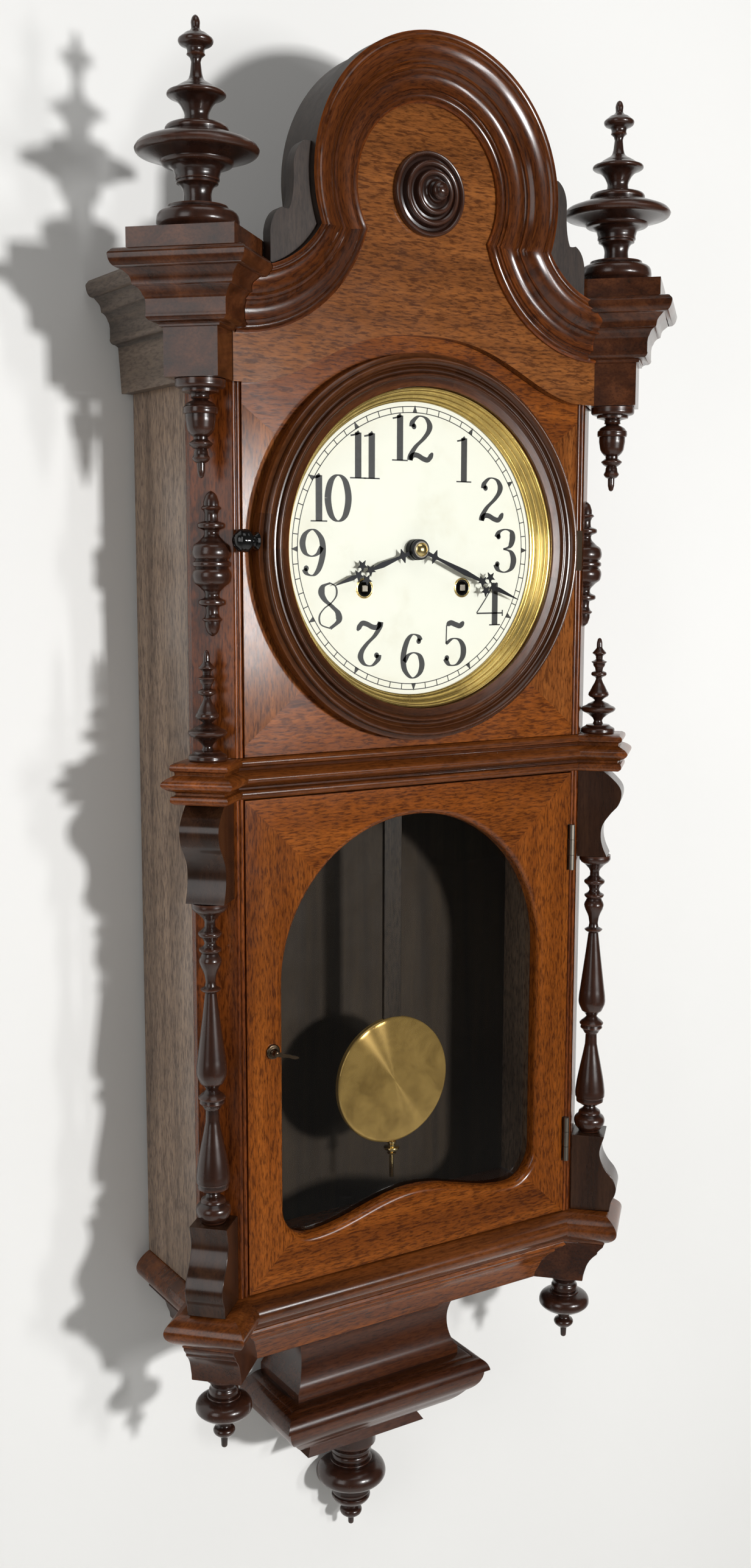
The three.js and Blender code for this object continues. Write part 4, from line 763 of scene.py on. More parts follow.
def case_cutter(name):
    board = BOARD_Y - FIT
    frieze = -HALF_WIDTH - FRIEZE_OUT - FIT
    front_meet = sum(in_corner(0, board)) - BLOCK_HALF
    out, along = in_corner(frieze, 0)
    side_meet = out - along - BLOCK_HALF
    plan = [
        (0, 0), (0, board), at_corner(front_meet, BLOCK_HALF)[:2], at_corner(FIT, BLOCK_HALF)[:2],
        at_corner(FIT, -BLOCK_HALF)[:2], at_corner(side_meet, -BLOCK_HALF)[:2], (frieze, 0),
    ]
    return mesh_object(name, *stack(plan, [(BLOCK_RISE - 5, lambda i: 0), (CASE_TOP + FIT, lambda i: 0)]))


def cap_cutter(side):
    verts, faces = block_stack(FIT)
    return mesh_object(f"cap_{side}", corner_verts(verts, side), faces)


def wall_cutter(side):
    verts, faces = cuboid(-60, 80, -BLOCK_HALF - FIT, BLOCK_HALF + FIT, BLOCK_RISE - 20, CASE_TOP + 20)
    return mesh_object(f"wall_{side}", corner_verts(verts, side), faces)


def build_corner_blocks():
    for side in "lr":
        verts, faces = block_stack()
        block = make(f"block_{side}", corner_verts(verts, side), faces, "block", "case", "turned", 32)
        cutter = case_cutter("case_space")
        if side == "r":
            cutter.scale.x = -1
            bpy.context.view_layer.update()
        carve(block, cutter)
        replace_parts(bevel(block, 0.25, 1, 50), f"corner_block_{side}")


def build_side_cornices():
    face = HALF_WIDTH + FRIEZE_OUT
    section = [(HALF_WIDTH + FIT, BLOCK_RISE), (face, BLOCK_RISE)]
    section += [(face + p * 0.96, FRIEZE_TOP + up - 0.5) for p, up in CORNICE[1:]]
    section += [(HALF_WIDTH + FIT, CASE_TOP)]
    for side in "lr":
        sign = -1 if side == "l" else 1
        points = [(sign * x, z) for x, z in section]
        cornice = make(f"cornice_{side}", *prism(points, 0, FRONT), "dull", "case", "moulding", 32)
        carve(cornice, cap_cutter(side), wall_cutter(side))
        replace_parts(bevel(cornice, 0.25, 1, 50), f"side_cornice_{side}")


def mitre(w):
    arch = ARCH_RADIUS - w * ARCH_BAND
    sweep = SWEEP_RADIUS + w * SWEEP_BAND
    x = (SWEEP_X ** 2 + arch ** 2 - sweep ** 2) / (2 * SWEEP_X)
    return arch, sweep, x, math.sqrt(arch ** 2 - x ** 2)


def crest_line(w, sweep_steps=16, arch_steps=80):
    """The line that lies w in from the crest's outer edge, from the left end to the right."""
    arch, sweep, x, drop = mitre(w)
    sweep_end = math.atan2(-drop, SWEEP_X - x)
    arch_start = math.atan2(-drop, -x) + 2 * math.pi
    line = []
    for k in range(sweep_steps):
        a = -math.pi / 2 + (sweep_end + math.pi / 2) * k / sweep_steps
        line.append((-SWEEP_X + sweep * math.cos(a), ARCH_HEIGHT + sweep * math.sin(a)))
    for k in range(arch_steps + 1):
        a = arch_start - (2 * arch_start - math.pi) * k / arch_steps
        line.append((arch * math.cos(a), ARCH_HEIGHT + arch * math.sin(a)))
    return line + [(-p[0], p[1]) for p in reversed(line[:sweep_steps])]


def crest_grain(middle, corner):
    """Along the arch or along the side sweep, whichever the face belongs to, and in from the edge."""
    _, _, x0, drop0 = mitre(0)
    _, _, x1, drop1 = mitre(1)
    side = -1 if middle.x < 0 else 1
    x, z = abs(middle.x), middle.z - ARCH_HEIGHT
    below = (x1 - x0) * (z + drop0) - (x - x0) * (drop0 - drop1)
    if below > 0 or z < -drop0 - 20:
        turn = math.atan2(corner.z - ARCH_HEIGHT, side * corner.x - SWEEP_X)
        reach = math.hypot(corner.z - ARCH_HEIGHT, side * corner.x - SWEEP_X)
        return turn * 80 + side * 700, reach - corner.y
    turn = math.atan2(corner.x, corner.z - ARCH_HEIGHT)
    return turn * 75, math.hypot(corner.x, corner.z - ARCH_HEIGHT) - corner.y + 300


def build_crest_moulding():
    section = [(0, 0), (0, 0.82)] + outline([
        (0, 0.82), (0.13, 0.84, 0.07), (0.15, 0.78), (0.19, 0.78), (0.44, 0.5, -0.05), (0.46, 0.46),
        (0.5, 0.46), (0.5, 0.43), (0.8, 0.25, 0.085), (0.81, 0.18), (0.85, 0.18), (0.85, 0.14),
        (0.97, 0.12, 0.03), (1, 0.08),
    ], 8)[1:] + [(1, 0)]
    rows = [
        [(x, BOARD_Y - FIT - p * MOULDING_DEPTH, z) for x, z in crest_line(w)]
        for w, p in section
    ]
    columns = len(rows[0])
    verts = [v for row in rows for v in row]
    faces = []
    for r in range(len(rows)):
        n = (r + 1) % len(rows)
        for k in range(columns - 1):
            faces.append((r * columns + k, n * columns + k, n * columns + k + 1, r * columns + k + 1))
    for end in (0, columns - 1):
        faces.append(tuple(r * columns + end for r in range(len(rows))))
    crest = make("crest_moulding", verts, faces, "crest", "case", "moulding", 32)
    lay_uv(crest, crest_grain)
    crest.data.materials.append(looks["ear"])
    for face in crest.data.polygons[:columns - 1]:
        face.material_index = 1
    carve(crest, cap_cutter("l"), cap_cutter("r"))
    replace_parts(crest, "pediment_moulding")


def board_edge(x):
    reach = min(abs(x) / (PANEL_HALF - 2.2), 1)
    return BLOCK_RISE + 36.7 * (1 + math.cos(math.pi * reach ** 1.3)) / 2


def build_crest_board():
    upper = crest_line(0.04)
    reach = SWEEP_X + 2
    steps = 96
    lower = [(x, board_edge(x)) for x in (reach - 2 * reach * k / steps for k in range(steps + 1))]
    board = make(
        "crest_board", *prism(upper + lower, BOARD_Y, FRONT - FIT), "pediment", "case", "veneer", 35,
    )
    carve(board, wall_cutter("l"), wall_cutter("r"))
    board.data.materials.append(looks["ear"])
    for face in board.data.polygons:
        face.material_index = int(abs(face.normal.y) < 0.5 and face.center.z > CASE_TOP * MM)
    bevel(board, 0.8, 3, 50)
    low = 141.6
    inside = [p for p in upper if abs(p[0]) < PANEL_HALF - 1]
    corner = inside[0][0]
    backing_points = [(corner, low), *inside, (-corner, low)]
    backing = make(
        "crest_backing", *prism(backing_points, FRONT - FIT, BOARD_Y + 17), "ear", "case", "veneer", 35,
    )
    carve(backing, wall_cutter("l"), wall_cutter("r"))
    above = [p for p in upper if p[1] > CASE_TOP + FIT]
    points = [(above[0][0], CASE_TOP + FIT), *above, (-above[0][0], CASE_TOP + FIT)]
    make("crest_backing_arch", *prism(points, BOARD_Y + 17, BOARD_Y + 28), "ear", "case", "veneer", 35)
    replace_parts(board, "pediment_board")


def build_rosette():
    line = outline([
        (0.01, 0), (26.5, 0), (26.5, 2.4), (23.4, 3.4, 1.6), (22.6, 2), (21.2, 2.4), (20.2, 5),
        (16.8, 6.4, 1.5), (16, 4.8), (14.8, 5), (13.8, 8), (10.6, 9.4, 1.4), (9.8, 7.6), (8.8, 7.8),
        (6.4, 10.6, -0.6), (5, 11.2), (5.6, 13.4, 0.3), (3.8, 16.6, 0.8), (0.01, 18.4, 0.6),
    ], 6)
    verts, faces = rings(line, 72)
    verts = [(x, BOARD_Y - FIT - h, z + ROSETTE_Z) for x, z, h in verts]
    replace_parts(make("rosette", verts, faces, "turned", "case", "turned", 32), "crest_rosette")


def curve(start, control, end, steps=8):
    points = []
    for k in range(1, steps + 1):
        t = k / steps
        a, b, c = (1 - t) ** 2, 2 * t * (1 - t), t * t
        points.append((
            a * start[0] + b * control[0] + c * end[0],
            a * start[1] + b * control[1] + c * end[1],
        ))
    return points


def build_frets():
    """Sawn ears in the angles between the arch and the side sweeps."""
    arch = ARCH_RADIUS + FIT
    sweep = SWEEP_RADIUS - FIT
    top = 17
    tip = 121
    _, _, x, drop = mitre(0)
    start = math.asin(top / arch)
    meet = -math.atan2(drop, x) + 0.012
    points = [(math.cos(start) * arch, ARCH_HEIGHT + top)]
    for k in range(1, 17):
        a = start + (meet - start) * k / 16
        points.append((math.cos(a) * arch, ARCH_HEIGHT + math.sin(a) * arch))
    crossing = math.atan2(-drop, x - SWEEP_X)
    last = -math.pi + math.acos((SWEEP_X - tip) / sweep)
    for k in range(1, 13):
        a = crossing + (last - crossing) * k / 12
        points.append((SWEEP_X + math.cos(a) * sweep, ARCH_HEIGHT + math.sin(a) * sweep))
    h = ARCH_HEIGHT
    points.append((tip, h - 38))
    points += curve(points[-1], (tip - 1, h - 27), (tip - 8, h - 23.5))
    points += curve(points[-1], (tip - 11, h - 24.5), (tip - 13, h - 24))
    points += curve(points[-1], (tip - 17, h - 16), (tip - 16.2, h + 2))
    points += curve(points[-1], (tip - 17, h + 13), (tip - 24, h + top))
    for side in "lr":
        sign = -1 if side == "l" else 1
        shape = [(sign * a, b) for a, b in points]
        fret = make(f"ear_{side}", *prism(shape, BOARD_Y - 2, BOARD_Y - 11.3), "ear", "case", "turned", 35)
        carve(fret, cap_cutter(side))
        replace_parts(bevel(fret, 0.5, 2, 45), f"fret_{side}")


# Turned work: profiles go from the foot to the tip, in millimetres as drawn

FINIAL = [
    (0.01, 0), (20, 0), (21.6, 1.4), (23, 3.3), (24.6, 8.1, 0.8), (19.6, 13.4, 1.6), (18.4, 14.2),
    (18, 15.8), (8.6, 17.6, -0.4), (8.2, 21.8), (9, 26, -0.2), (12.4, 28.8, -0.5), (12.4, 30.2),
    (13.2, 31.4, 0.3), (13, 32.8), (14, 36.3), (16.4, 38.4), (20.6, 39.2), (22, 41.3, 0.3),
    (33, 44.8, -0.3), (36.9, 48.1, 1), (32.6, 52.3, 0.7), (25.4, 54.9), (18.4, 57.6, -0.3),
    (18.6, 60.2, 0.4), (16.6, 61.8, 0.3), (7.5, 64.2), (7.1, 67.2), (8.2, 70.6, -0.2), (14, 76.8, -0.8),
    (15.2, 77.2), (17.4, 78.4, 0.2), (16.9, 80.3, 0.3), (11.4, 83.2, -0.4), (7.8, 85.3), (4.5, 87.8, -0.3),
    (3.3, 92.9, -0.2), (2.8, 97.3), (3.5, 99.6), (5.5, 101.3), (5.7, 105.1, -0.5), (8.7, 106.4),
    (10.4, 108.8, 0.4), (9.4, 110.6, 0.3), (6.2, 113.1), (2.5, 115.8, -0.5), (2.6, 118), (2.4, 120.8, 0.2),
    (0.01, 123.6, 0.5),
]
PENDANT = [
    (0.01, 0), (1.6, 1.2, 0.3), (2.3, 4), (2.4, 8.9), (3.7, 9.5), (5.5, 12, 0.3), (4.4, 14), (4.2, 15.8),
    (3.7, 17.2), (7, 19.8, 0.3), (7.3, 20.8, 0.2), (4.4, 23), (4.4, 24.4), (8.3, 29.1, 0.5), (9.2, 34.5),
    (9.2, 37.7), (10.2, 38.1), (10.4, 41, 0.2), (9.7, 42.4, 0.3), (7.3, 44.9, 0.3), (4.4, 46.3), (6, 47.2),
    (5.9, 49.5, -0.4), (11, 50.8), (11.2, 52.4), (13.9, 53.1), (15.2, 55.6, 0.5), (15.2, 58.1),
    (0.01, 58.1),
]
SPINDLE_HALF = [
    (0.01, 0), (3.4, 2.8, 0.3), (4.6, 6.5), (4.7, 9.1), (6.3, 10.9, 0.3), (4.9, 11.9), (4, 13.9),
    (4.3, 18.4, -0.2), (7.6, 19.5), (8.5, 21.5, 0.4), (7.6, 22.9, 0.3), (4.9, 24), (4.5, 26.6, -0.3),
    (6.4, 29.2, -0.3), (9.8, 32.2, -0.2), (11.9, 35.6, 0.5), (12, 39.7, 0.3), (11, 41.6), (10.2, 42),
    (11, 43.1, -0.1), (12, 44.8, 0.4),
]
SMALL_FINIAL = [
    (0.01, 0), (11.6, 0), (12.1, 1.8, 0.3), (11.4, 3.6, 0.3), (9.1, 4.8), (8.3, 5.8), (3.8, 6.4), (3, 8.5),
    (5.3, 11.7, -0.4), (10.2, 14.9, -0.3), (12.5, 17.4, 0.4), (10.6, 19.2, 0.3), (7.2, 21.2, -0.2),
    (4.5, 22.4), (2.6, 23.5), (5.1, 25.5), (7.1, 26.9, 0.2), (7.3, 28.2, 0.2), (6.4, 30, 0.2), (4.2, 34.5),
    (2.1, 39.1, -0.2), (2.6, 40.2), (4.9, 41.3), (5.6, 42.6, 0.2), (4.9, 44, 0.2), (2.6, 45), (3, 47),
    (4.1, 48.5), (4.5, 50.4), (5.6, 51.6, 0.2), (3.4, 52.5), (2.4, 53.4), (2.6, 55.4), (4.6, 57.2, -0.1),
    (4.9, 58, 0.2), (3, 60.3), (2.1, 61.5), (2, 65.2), (1.5, 67.3), (0.01, 68.7, 0.3),
]
COLUMN = [
    (0.01, 0), (7.9, 0), (8.7, 1.7), (11.4, 6.3, 0.5), (10.7, 10.8, 0.5), (7.9, 13.3), (8.2, 14.2, 0.3),
    (7.9, 15.2), (5.5, 17.1), (4.3, 19.1, -0.2), (7.5, 21, -0.2), (10.1, 22.8, -0.2), (10.3, 26),
    (11, 27.6, 0.3), (10.8, 33.3, 0.2), (9.4, 42.6, 0.1), (7.5, 52.5), (5.9, 60.2), (4.5, 67.6),
    (4.2, 75.4), (5.7, 77, 0.2), (8.2, 80.2, -0.2), (7.8, 82.3), (8.9, 83.9, 0.3), (5.5, 87.1, 0.2),
    (3.8, 89), (5.1, 91.2), (7.4, 93.2, -0.2), (9.3, 97.3), (9.9, 102.5, 0.3), (9.2, 109.1, 0.1),
    (7.2, 124.7), (5.2, 140.4), (3.7, 153), (4.7, 153.9), (6.7, 155.7, 0.3), (3.7, 157.5), (3.2, 160.3),
    (3.9, 164.9), (5.8, 169.5, -0.1), (7.3, 174.2, 0.2), (6, 177.4, 0.2), (5.4, 179), (6.6, 180.2),
    (7.2, 182.1, 0.3), (4.6, 183.7), (3.7, 185.3), (4.2, 187.3, -0.1), (6.9, 190.4, -0.2),
    (7.6, 192.4, 0.3), (5.8, 194, 0.2), (3.5, 196.4), (3.4, 199.5), (5.8, 203.1, -0.3), (10, 206.6, -0.3),
    (11.2, 208.2), (11.5, 210.5, 0.2), (11.5, 212), (0.01, 212),
]
CORNER_DROP = [
    (0.01, 0), (1.2, 0.2, 0.1), (2.1, 1.6, 0.2), (2.4, 7.4), (3.6, 8.4), (5.7, 9.9, 0.2), (7.4, 12.6, 0.4),
    (6.3, 14.8, 0.3), (4.4, 16.4, -0.2), (4.3, 18.6), (5, 20.6, -0.3), (12, 23.4, 0.2), (17.4, 26.4, 0.5),
    (19, 30.1, 0.6), (16.3, 35.3, 0.8), (11.2, 37.4, 0.2), (10.8, 38.4, 0.2), (9.4, 38.7), (9.9, 41.4, 0.3),
    (9.1, 44, 0.3), (8.8, 44.8), (10.2, 48.6, -0.3), (12.6, 51, -0.2), (12.6, 53.7), (0.01, 53.7),
]
CENTRE_DROP = [
    (0.01, 0), (1.4, 0.3, 0.1), (2.2, 1.8, 0.2), (2.3, 6.2), (3.8, 7, -0.1), (6.6, 8.8, 0.2),
    (8.5, 11.9, 0.5), (7.5, 14.3, 0.3), (5.4, 16, -0.2), (5.8, 17.4), (12.2, 21.2, 0.7), (14.8, 24.6, 0.3),
    (14.6, 26.6, 0.2), (13.5, 27.2), (13.5, 28.2), (14.7, 28.8), (14.9, 30.4, 0.2), (14.6, 34.8),
    (24.6, 40, 0.6), (26.8, 45.4, 0.7), (22.5, 52.6, 1), (16, 55, 0.5), (15.5, 56.2, 0.3), (14, 56.6),
    (14.6, 59, 0.3), (14, 61.2, 0.3), (13.2, 61.6), (15.2, 62.6), (15.6, 64.4, 0.2), (16.4, 67.4, -0.3),
    (19, 70.6, -0.2), (19, 82.1), (0.01, 82.1),
]


def corner_turning(name, node, profile, out, foot, segments=40, height=None):
    for side in "lr":
        verts, faces = rings(stretched(profile, height or top_of(profile)), segments)
        verts = corner_verts(shifted(verts, x=out, z=foot), side)
        piece = make(f"{name}_{side}", verts, faces, "turned", "case", "turned", 40)
        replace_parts(piece, f"{node}_{side}")


def build_turnings():
    corner_turning("turned_finial", "finial", FINIAL, BLOCK_AXIS, PLINTH_TOP + FIT, 56)
    corner_turning("turned_pendant", "pendant", PENDANT, BLOCK_AXIS, BLOCK_RISE - FIT - top_of(PENDANT))
    corner_turning("turned_small_finial", "small_finial", SMALL_FINIAL, DRESSING_OUT, BELT_TOP + FIT)
    column_top = BELT_BOTTOM - UPPER_BRACKET - 3 * FIT
    column_foot = BASE_TOP + LOWER_BRACKET + 3 * FIT
    column_height = column_top - column_foot
    corner_turning("turned_column", "column", COLUMN, DRESSING_OUT, column_foot, height=column_height)
    drop_foot = APRON_BOTTOM - FIT - top_of(CORNER_DROP)
    corner_turning("turned_drop", "corner_drop", CORNER_DROP, -4, drop_foot, 64)
    half = outline(SPINDLE_HALF)
    whole = half + [(r, SPINDLE_HEIGHT - h) for r, h in reversed(half[:-1])]
    for side in "lr":
        verts, faces = rings(whole, 24, start=-math.pi / 2, sweep=math.pi)
        verts = [(max(x, 0) + FIT, y, z + BLOCK_RISE - SPINDLE_DOWN - SPINDLE_HEIGHT) for x, y, z in verts]
        piece = make(f"half_spindle_{side}", corner_verts(verts, side), faces, "turned", "case", "turned", 40)
        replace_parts(piece, f"split_spindle_{side}")
    verts, faces = rings(stretched(CENTRE_DROP, top_of(CENTRE_DROP)), 72)
    foot = APRON_BOTTOM - 2 * FIT - FOOT_HEIGHT - top_of(CENTRE_DROP)
    verts = shifted(verts, y=CENTRE_DROP_Y, z=foot)
    centre = make("turned_centre_drop", verts, faces, "turned", "case", "turned", 40)
    carve(centre, mesh_object("wall_side", *cuboid(-40, 40, 0, 40, foot - 5, foot + 90)))
    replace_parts(centre, "centre_drop")


def build_brackets():
    upper = [(FIT, 0)] + spline([
        (22, 0), (18.6, 8), (17.3, 16), (18.6, 24), (24, 32), (29.4, 38.4), (31.5, 45.6), (30.2, 51.6),
        (24.6, 58), (17.8, UPPER_BRACKET),
    ]) + [(FIT, UPPER_BRACKET)]
    lower = [(FIT, 0)] + spline([
        (29.6, 0), (30.9, 7.5), (33.6, 13.6), (34.2, 19), (31.6, 26), (26.4, 32.6), (22.6, 39.6), (21.6, 47),
        (24.8, LOWER_BRACKET),
    ]) + [(FIT, LOWER_BRACKET)]
    for name, line, foot in (
        ("upper", upper, BELT_BOTTOM - FIT - UPPER_BRACKET), ("lower", lower, BASE_TOP + FIT),
    ):
        for side in "lr":
            verts, faces = prism([(a, b + foot) for a, b in line], -12.7, 12.7)
            placed = corner_verts(verts, side)
            obj = make(f"scroll_{name}_{side}", placed, faces, "scroll", "case", "turned", 40)
            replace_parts(bevel(obj, 0.6, 3, 55), f"{name}_bracket_{side}")


# Dial, bezel and hands

def veneer_mitres(obj, lines, look):
    """Cuts a mesh along slanting lines and their mirror images, and lays the upper and lower parts
    in veneer with level grain."""
    bm = bmesh.new()
    bm.from_mesh(obj.data)
    for side in (1, -1):
        for (x0, z0), (x1, z1) in lines:
            normal = Vector((z1 - z0, 0, -side * (x1 - x0)))
            everything = list(bm.verts) + list(bm.edges) + list(bm.faces)
            bmesh.ops.bisect_plane(
                bm, geom=everything, dist=SAME_SPOT,
                plane_co=Vector((side * x0, 0, z0)) * MM, plane_no=normal,
            )
    bm.to_mesh(obj.data)
    bm.free()
    obj.data.materials.append(looks[look])
    (x0, z0), (x1, z1) = lines[0]
    (x2, z2), (x3, z3) = lines[1]
    for face in obj.data.polygons:
        x, z = -abs(face.center.x / MM), face.center.z / MM
        above = z - z0 - (x - x0) * (z1 - z0) / (x1 - x0)
        below = z - z2 - (x - x2) * (z3 - z2) / (x3 - x2)
        face.material_index = 1 if above > 0 or below < 0 else 0
    shade(obj.data, 35)


def build_panel():
    square = [
        (-PANEL_HALF, BELT_TOP + FIT), (PANEL_HALF, BELT_TOP + FIT),
        (PANEL_HALF, PANEL_TOP), (-PANEL_HALF, PANEL_TOP),
    ]
    verts, faces = prism(square, FRONT, FRONT + 6.5, [circle(106, 128)])
    panel = make("panel_round_hole", verts, faces, "panel_up", "case", "veneer", 30)
    lines = [((-PANEL_HALF, 88), (-104.8, 67.4)), ((-PANEL_HALF, -124), (-79.5, -80.8))]
    veneer_mitres(panel, lines, "panel_across")
    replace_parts(bevel(panel, 0.3, 2, 60), "dial_panel")


def bezel_grain(middle, corner):
    """Along each of the four glued segments of the ring."""
    segment = math.floor((math.atan2(middle.z, middle.x) + math.pi / 18) / (math.pi / 2))
    start = segment * math.pi / 2 - math.pi / 18
    turn = (math.atan2(corner.z, corner.x) - start + math.pi / 2) % (2 * math.pi) - math.pi / 2
    return turn * 115 + segment * 470, math.hypot(corner.x, corner.z) - corner.y + segment * 130


def build_bezel():
    section = outline([
        (126, FIT), (126, 9.3), (125.2, 10), (124, 10.3), (123.4, 10.6), (118.5, 12.2, 3.2), (118.2, 11.4),
        (117.4, 11.2), (114, 9.4, -0.9), (113.6, 10.2), (110.2, 11.2, 1.9), (109.8, 10.8), (105, 9.8),
        (105, FIT),
    ], 8)
    verts, faces = rings(section, 144, closed=True)
    verts = [(x, FRONT - p, z) for x, z, p in verts]
    ring = make("bezel_round", verts, faces, "bezel", "bezel", "moulding", 32)
    lay_uv(ring, bezel_grain)
    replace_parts(ring, "bezel_ring")
    rim = BEZEL_BORE - FIT
    sight = outline([
        (rim, 6.4), (rim, 0.3), (rim - 7.1, -6.1), (rim - 8.2, -6.1), (rim - 8.2, -5.2, 0.2),
        (rim - 7.6, -5), (rim - 6.6, -3.6, -0.25), (rim - 6.1, -3.6), (rim - 6, -2.8),
        (rim - 4.4, -0.2, -0.35), (rim - 3.9, -0.2), (rim - 3.8, 0.8), (rim - 2.2, 3.4, 0.5),
        (rim - 1.7, 3.4), (rim - 1.6, 4.8), (rim - 1.2, 6.2, 0.2), (rim - 0.5, 6.6, 0.1),
    ], 5)
    verts, faces = rings(sight, 144, closed=True)
    verts = [(x, FRONT - p, z) for x, z, p in verts]
    sight_ring = make("sight_round", verts, faces, "ring", "bezel", "brass", 30)
    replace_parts(sight_ring, "sight_ring")
    # Painted shade: the hinge tab and knuckle take the dark bronze so that they read as the shadow at the
    # ring's right edge
    tab = cuboid(rim - 0.7, BEZEL_RADIUS + 2.5, FRONT - FIT, FRONT - 1.5, -6, 6)
    bevel(make("bezel_hinge_tab", *tab, "bronze", "bezel", "brass"), 0.2)
    verts, faces = rings([(0.01, -6), (1.7, -6), (1.7, 6), (0.01, 6)], 24)
    knuckle = shifted(verts, BEZEL_RADIUS + 2.5, FRONT - 2)
    make("bezel_knuckle", knuckle, faces, "bronze", "bezel", "brass")
    pane_line = [(0.01, -6), (103.2, -6), (103.2, -4.1), (0.01, -4.1)]
    verts, faces = rings(pane_line, 96)
    pane = make("round_pane", turn_to_y(verts, FRONT), faces, "glass", "bezel", "glass")
    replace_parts(pane, "bezel_glass")
    knob = outline([
        (0.01, 0), (5.2, 0), (5.8, 0.8, 0.2), (4.6, 2.2), (3.4, 3.6, -0.2), (5.4, 5.4, -0.2), (7, 9.8, 0.9),
        (5, 14.4, 0.9), (0.01, 16.2, 0.8),
    ], 8)
    verts, faces = rings(knob, 40)
    angle = math.radians(178)
    place = Matrix.Translation((math.cos(angle) * 126.3, FRONT - 8, math.sin(angle) * 126.3))
    turn = Matrix.Rotation(math.pi / 2 - angle, 4, "Y")
    verts = [tuple(place @ turn @ Vector(v)) for v in verts]
    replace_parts(make("round_knob", verts, faces, "knob", "bezel", "knob_black"), "bezel_knob")


def disc(name, radius, y0, y1, look, body, slot, x=0.0, z=0.0, bore=0.0, dome=0.0):
    """A washer or domed nut about the Y axis, facing the front."""
    line = [(max(bore, 0.01), y1), (radius, y1)]
    line += outline([(radius, y0 + 0.25), (radius - 0.25, y0, 0.08)], 4)
    if dome:
        line += outline([(radius - 0.25, y0), (max(bore, 0.01), y0 - dome, -dome * 0.3)], 8)[1:]
    else:
        line += [(max(bore, 0.01), y0)]
    verts, faces = rings(line, 48, closed=bore > 0)
    return make(name, shifted(turn_to_y(verts), x=x, z=z), faces, look, body, slot, 30)


def build_dial():
    holes = [circle(4.8, 32), circle(5, 32, -WINDING[0], WINDING[1]), circle(5, 32, WINDING[0], WINDING[1])]
    verts, faces = prism(circle(110, 128), DIAL_Y, DIAL_Y + 1, holes)
    plate = make("dial_plate", verts, faces, "dial", "case", "dial_paint", 30)
    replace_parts(plate, "dial")
    for side in (-1, 1):
        grommet = [(5.4, 0.2), (6.5, 0), (6.7, -0.2, 0.1), (6.2, -0.6, 0.2), (5.4, -0.3, 0.2)]
        verts, faces = rings(outline(grommet, 5), 40, closed=True)
        verts = shifted(turn_to_y(verts, DIAL_Y), x=side * WINDING[0], z=WINDING[1])
        name = "l" if side < 0 else "r"
        make(f"grommet_{name}", verts, faces, "brass_bright", "case", "brass", 30)
        # Painted shade: a black tube inside each winding hole stands in for the shade in the hole and hides
        # the lit movement behind it
        section = [(5.45, -0.3), (4.98, 0.1), (4.98, 9), (4.3, 9), (4.3, -0.1), (5, -0.45)]
        verts, faces = rings(section, 40, closed=True)
        verts = shifted(turn_to_y(verts, DIAL_Y), x=side * WINDING[0], z=WINDING[1])
        make(f"grommet_shade_sleeve_{name}", verts, faces, "knob", "case", "steel", 30)
        x, z = side * WINDING[0], WINDING[1]
        wheel = "strike_wheel" if side < 0 else "time_wheel"
        square = cuboid(x - 2.2, x + 2.2, DIAL_Y - 1.2, DIAL_Y + 6, z - 2.2, z + 2.2)
        bevel(make(f"winding_square_{name}", *square, "steel", wheel, "steel"), 0.4)
    ink_y = DIAL_Y - 0.06
    for name, radius in (("outer", TRACK_OUTER), ("inner", TRACK_INNER)):
        outer = circle(radius + 0.3, 180)
        verts, faces = prism(outer, ink_y, DIAL_Y + 0.2, [circle(radius - 0.3, 180)])
        make(f"track_{name}", verts, faces, "ink", "case", "dial_paint")
    verts, faces = [], []
    for minute in range(60):
        a = math.pi / 2 - 2 * math.pi * minute / 60
        along = Vector((math.cos(a), math.sin(a)))
        across = Vector((-along.y, along.x))
        if minute % 5:
            corners = [
                along * TRACK_INNER - across * 0.32, along * TRACK_OUTER - across * 0.32,
                along * TRACK_OUTER + across * 0.32, along * TRACK_INNER + across * 0.32,
            ]
        else:
            corners = [
                along * (TRACK_INNER - 0.2) - across * 1.9, along * (TRACK_OUTER + 0.9),
                along * (TRACK_INNER - 0.2) + across * 1.9,
            ]
        start = len(verts)
        verts += [(c.x, ink_y, c.y) for c in corners]
        faces.append(tuple(range(start, start + len(corners))))
    make("minute_marks", verts, faces, "ink", "case", "dial_paint")


